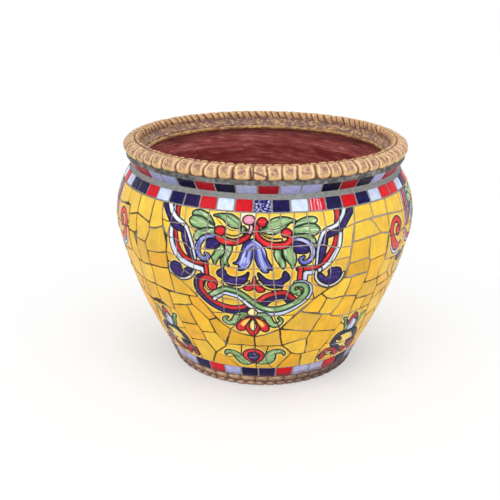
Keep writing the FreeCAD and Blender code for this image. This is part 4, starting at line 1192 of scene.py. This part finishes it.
def build_foot(name, node, lobes, low_share, high_share, seed, tone, gaps, smeared):
    """One row of the foot band: pressed lobes with dark gaps."""
    foot, top = outline_place(OUTLINE_SHARES[0]), outline_place(OUTLINE_SHARES[1])
    low, high = foot + (top - foot) * low_share, foot + (top - foot) * high_share
    ts = np.linspace(0, 1, 15)
    bulge = (1 - np.abs(2 * ts - 1) ** 2.6) ** (1 / 2.2)
    face = low[0] + (high[0] - low[0]) * ts
    front = np.column_stack([face - foot_bulge + foot_bulge * bulge,
                             low[1] + (high[1] - low[1]) * ts])
    section = np.vstack([(low[0] - foot_back, low[1]), front, (high[0] - foot_back, high[1])])
    strength = np.concatenate([[0], np.ones(len(ts)), [0]])

    def gap_of(turn, row):
        phase = (turn * lobes / 360 + 0.14 * ripple(turn * 0.11, row * 0.0, seed)) % 1.0
        return np.minimum(phase, 1 - phase)

    def shape(turn, row, radius, height):
        drop = unit(1 - gap_of(turn, row) / gaps) ** 1.6
        lump = 0.45 * ripple(turn * 0.5, row * 0.3, seed + 1)
        lump = lump + 0.2 * ripple(turn * 1.6, row * 0.8, seed + 2)
        return radius - strength[row] * (foot_proud * drop - lump), height

    verts, faces, turn, row = lathe(section, lobes * foot_lobe_steps, shape)
    gap = gap_of(turn, row)
    colours = one_colour(tone, verts)
    vary(colours, 0.1, ripple(turn * 0.7, row * 0.6, seed + 3))
    t = unit((row - 1) / (len(ts) - 1))
    # A cream painted highlight along the upper part of each lobe, clear of the gaps
    mix(colours, (246, 214, 176), 0.8 * hump(t, 0.72, 0.16) * unit((gap - gaps) * 6))
    wash = unit(1 - gap / (gaps * 0.9)) + unit((np.abs(t - 0.5) - 0.36) * 6)
    mix(colours, (92, 62, 62), 0.8 * unit(wash))
    if smeared:
        smear = unit((t - 0.84) * 8) * unit(0.7 + ripple(turn * 0.6, t * 2, seed + 5))
        mix(colours, GROUT_FOOT, 0.75 * smear)
    mix(colours, (128, 88, 84), 0.6 * unit(ripple(turn * 1.1, row * 0.5, seed + 4) * 1.4))
    # Painted shade on the pot's sides
    mix(colours, (70, 48, 48), 0.85 * side_painted_shade(turn))
    piece = make_piece(name, verts, faces, colours, roll_finish)
    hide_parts(node)


build_foot("foot_brick_row", "foot_bricks", 44, 0.46, 0.99, 51, (190, 148, 106), 0.12, True)
build_foot("foot_pebble_row", "foot_pebbles", 60, 0.02, 0.45, 61, (178, 134, 104), 0.24, False)

bead_radius, bead_height, bead_half_width, bead_half_height = 158.6, 288.2, 1.9, 2.7


def build_bead():
    """The smooth bead inside the mouth, worn and stained."""
    turns = np.radians(np.arange(0, 360, 24))
    section = np.column_stack([bead_radius + bead_half_width * np.cos(turns),
                               bead_height + bead_half_height * np.sin(turns)])

    def shape(turn, row, radius, height):
        lump = 0.3 * ripple(turn * 0.3, row * 0.4, 71) + 0.15 * ripple(turn * 1.2, row * 0.6, 72)
        return radius - lump * 0.6, height + lump

    verts, faces, turn, row = lathe(section, grout_turns, shape)
    colours = one_colour((206, 162, 100), verts)
    vary(colours, 0.18, ripple(turn * 0.9, row * 0.8, 73))
    mix(colours, (104, 70, 62), unit(0.05 + 0.9 * ripple(turn * 0.45, row * 0.5, 74)))
    mix(colours, (84, 54, 56), unit(ripple(turn * 2.1, row * 1.2, 75) * 2 - 0.7))
    piece = make_piece("mouth_bead", verts, faces, colours, roll_finish)
    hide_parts("lip_bead")


build_bead()

CLAY_STOPS = ((0.38, (128, 58, 58)), (0.49, (174, 88, 84)), (0.56, (194, 106, 100)),
              (0.66, (228, 162, 154)))
bead_shade_low, bead_shade_high = 0.272, 0.284


def clay_material():
    """Bare red-brown clay, brushed round and round, darker in the shade of the bead."""
    material, tree, shader = new_material("thrown_clay")
    place = object_place(tree)
    split = add(tree, "ShaderNodeSeparateXYZ", place)
    # A place that changes fast up the wall and along the floor, and slowly round the pot
    flat = vector_math(tree, "MULTIPLY", place, (1, 1, 0))
    ring = vector_math(tree, "MULTIPLY", vector_math(tree, "NORMALIZE", flat), (0.02, 0.02, 0))
    course = number_math(tree, "ADD", split.outputs["Z"], length_of(tree, flat))
    lean = number_math(tree, "MULTIPLY_ADD", split.outputs["X"], 0.04, course)
    rise = add(tree, "ShaderNodeCombineXYZ", sockets={"Z": lean}).outputs[0]
    spun = vector_math(tree, "ADD", ring, rise)
    brush = noise(tree, 300.0, 6.0, 0.65, spun, 0.2)
    slow = noise(tree, 95.0, 3.0, 0.5, spun, 0.3)
    blend = add(tree, "ShaderNodeMix", sockets={0: 0.28, 2: brush, 3: slow},
                data_type="FLOAT").outputs[0]
    ramp = add(tree, "ShaderNodeValToRGB", blend)
    elements = ramp.color_ramp.elements
    while len(elements) < len(CLAY_STOPS):
        elements.new(0.5)
    for element, (share, colour) in zip(elements, CLAY_STOPS):
        element.position = share
        element.color = (*linear(colour), 1)
    under = ranged(tree, split.outputs["Z"], 1.0, 0.42, bead_shade_low, bead_shade_high)
    wire(tree, shader, {
        "Base Color": darkened(tree, ramp.outputs["Color"], under),
        "Roughness": ranged(tree, noise(tree, 200.0), 0.5, 0.75),
        "Normal": bumped(tree, ((blend, 1.0, 0.003), (noise(tree, 700.0, 5.0), 0.3, 0.0003)))})
    return material


nodes["clay_pot"].data.materials.clear()
nodes["clay_pot"].data.materials.append(clay_material())


# Floor, light and camera

def background_rays(tree):
    """One for the rays that should meet the plain white background."""
    path = add(tree, "ShaderNodeLightPath")
    value = path.outputs["Is Camera Ray"]
    for kind in ("Is Glossy Ray", "Is Transmission Ray"):
        value = number_math(tree, "MAXIMUM", value, path.outputs[kind])
    return value


# Distances over which the shadow fades, in metres, and the background's share at each end
fade_from, fade_to, share_near, share_far = 0.14, 0.52, 0.45, 1.0


def add_floor():
    """A white floor that keeps the shadow near the pot."""
    material, tree, shader = new_material("floor_white")
    wire(tree, shader, {"Base Color": (0.93, 0.93, 0.93, 1), "Roughness": 0.9,
                        "Specular IOR Level": 0.0})
    away = length_of(tree, object_place(tree))
    far = ranged(tree, away, share_near, share_far, fade_from, fade_to)
    share = number_math(tree, "MULTIPLY", far, background_rays(tree))
    white = add(tree, "ShaderNodeEmission", (1, 1, 1, 1), 1.0)
    both = add(tree, "ShaderNodeMixShader", share, shader.outputs[0], white.outputs[0])
    final = next(n for n in tree.nodes if n.type == "OUTPUT_MATERIAL")
    tree.links.new(both.outputs[0], final.inputs["Surface"])
    bpy.ops.mesh.primitive_plane_add(size=30, location=(0, 0, 0))
    floor = bpy.context.object
    floor.name = "floor"
    floor.data.materials.append(material)


# Name, place, size, power and tint
LAMPS = (("key", (-1.1, -1.7, 1.7), 1.2, 13, (1, 0.98, 0.95)),
         ("fill", (1.6, -1.3, 1.0), 1.4, 8, (0.95, 0.98, 1)),
         ("top", (0.1, -0.4, 2.2), 1.0, 9, (1, 1, 1)))
world_light, lamp_aim = 0.78, (0, 0, 0.17)


def add_light():
    """Soft light from all round, and three wide lamps."""
    world = bpy.data.worlds.new("studio")
    bpy.context.scene.world = world
    world.use_nodes = True
    tree = world.node_tree
    strength = ranged(tree, background_rays(tree), world_light, 1.0, 0.0, 1.0)
    wire(tree, tree.nodes["Background"], {"Color": (1, 1, 1, 1), "Strength": strength})
    for name, place, size, power, tint in LAMPS:
        lamp = bpy.data.lights.new(name, "AREA")
        lamp.size, lamp.energy, lamp.color = size, power, tint
        holder = bpy.data.objects.new(name, lamp)
        bpy.context.scene.collection.objects.link(holder)
        holder.location = place
        aim = Vector(lamp_aim) - Vector(place)
        holder.rotation_euler = aim.to_track_quat("-Z", "Y").to_euler()


add_floor()
add_light()

camera_azimuth, camera_rise = math.radians(4.45), math.radians(19.43)
camera_distance, camera_roll = 1.188, math.radians(0.7)
target = Vector((0, 0, 0.146))
data = bpy.data.cameras.new("view")
data.lens, data.sensor_width = 61.2, 36.0
data.shift_x = -0.0287
camera = bpy.data.objects.new("view", data)
bpy.context.scene.collection.objects.link(camera)
back = Vector((math.sin(camera_azimuth) * math.cos(camera_rise),
               -math.cos(camera_azimuth) * math.cos(camera_rise), math.sin(camera_rise)))
camera.location = target + back * camera_distance
turn_to = (-back).to_track_quat("-Z", "Y")
camera.rotation_mode = "QUATERNION"
camera.rotation_quaternion = turn_to @ Matrix.Rotation(camera_roll, 4, "Z").to_quaternion()
bpy.context.scene.camera = camera
bpy.context.scene.view_settings.view_transform = "Standard"
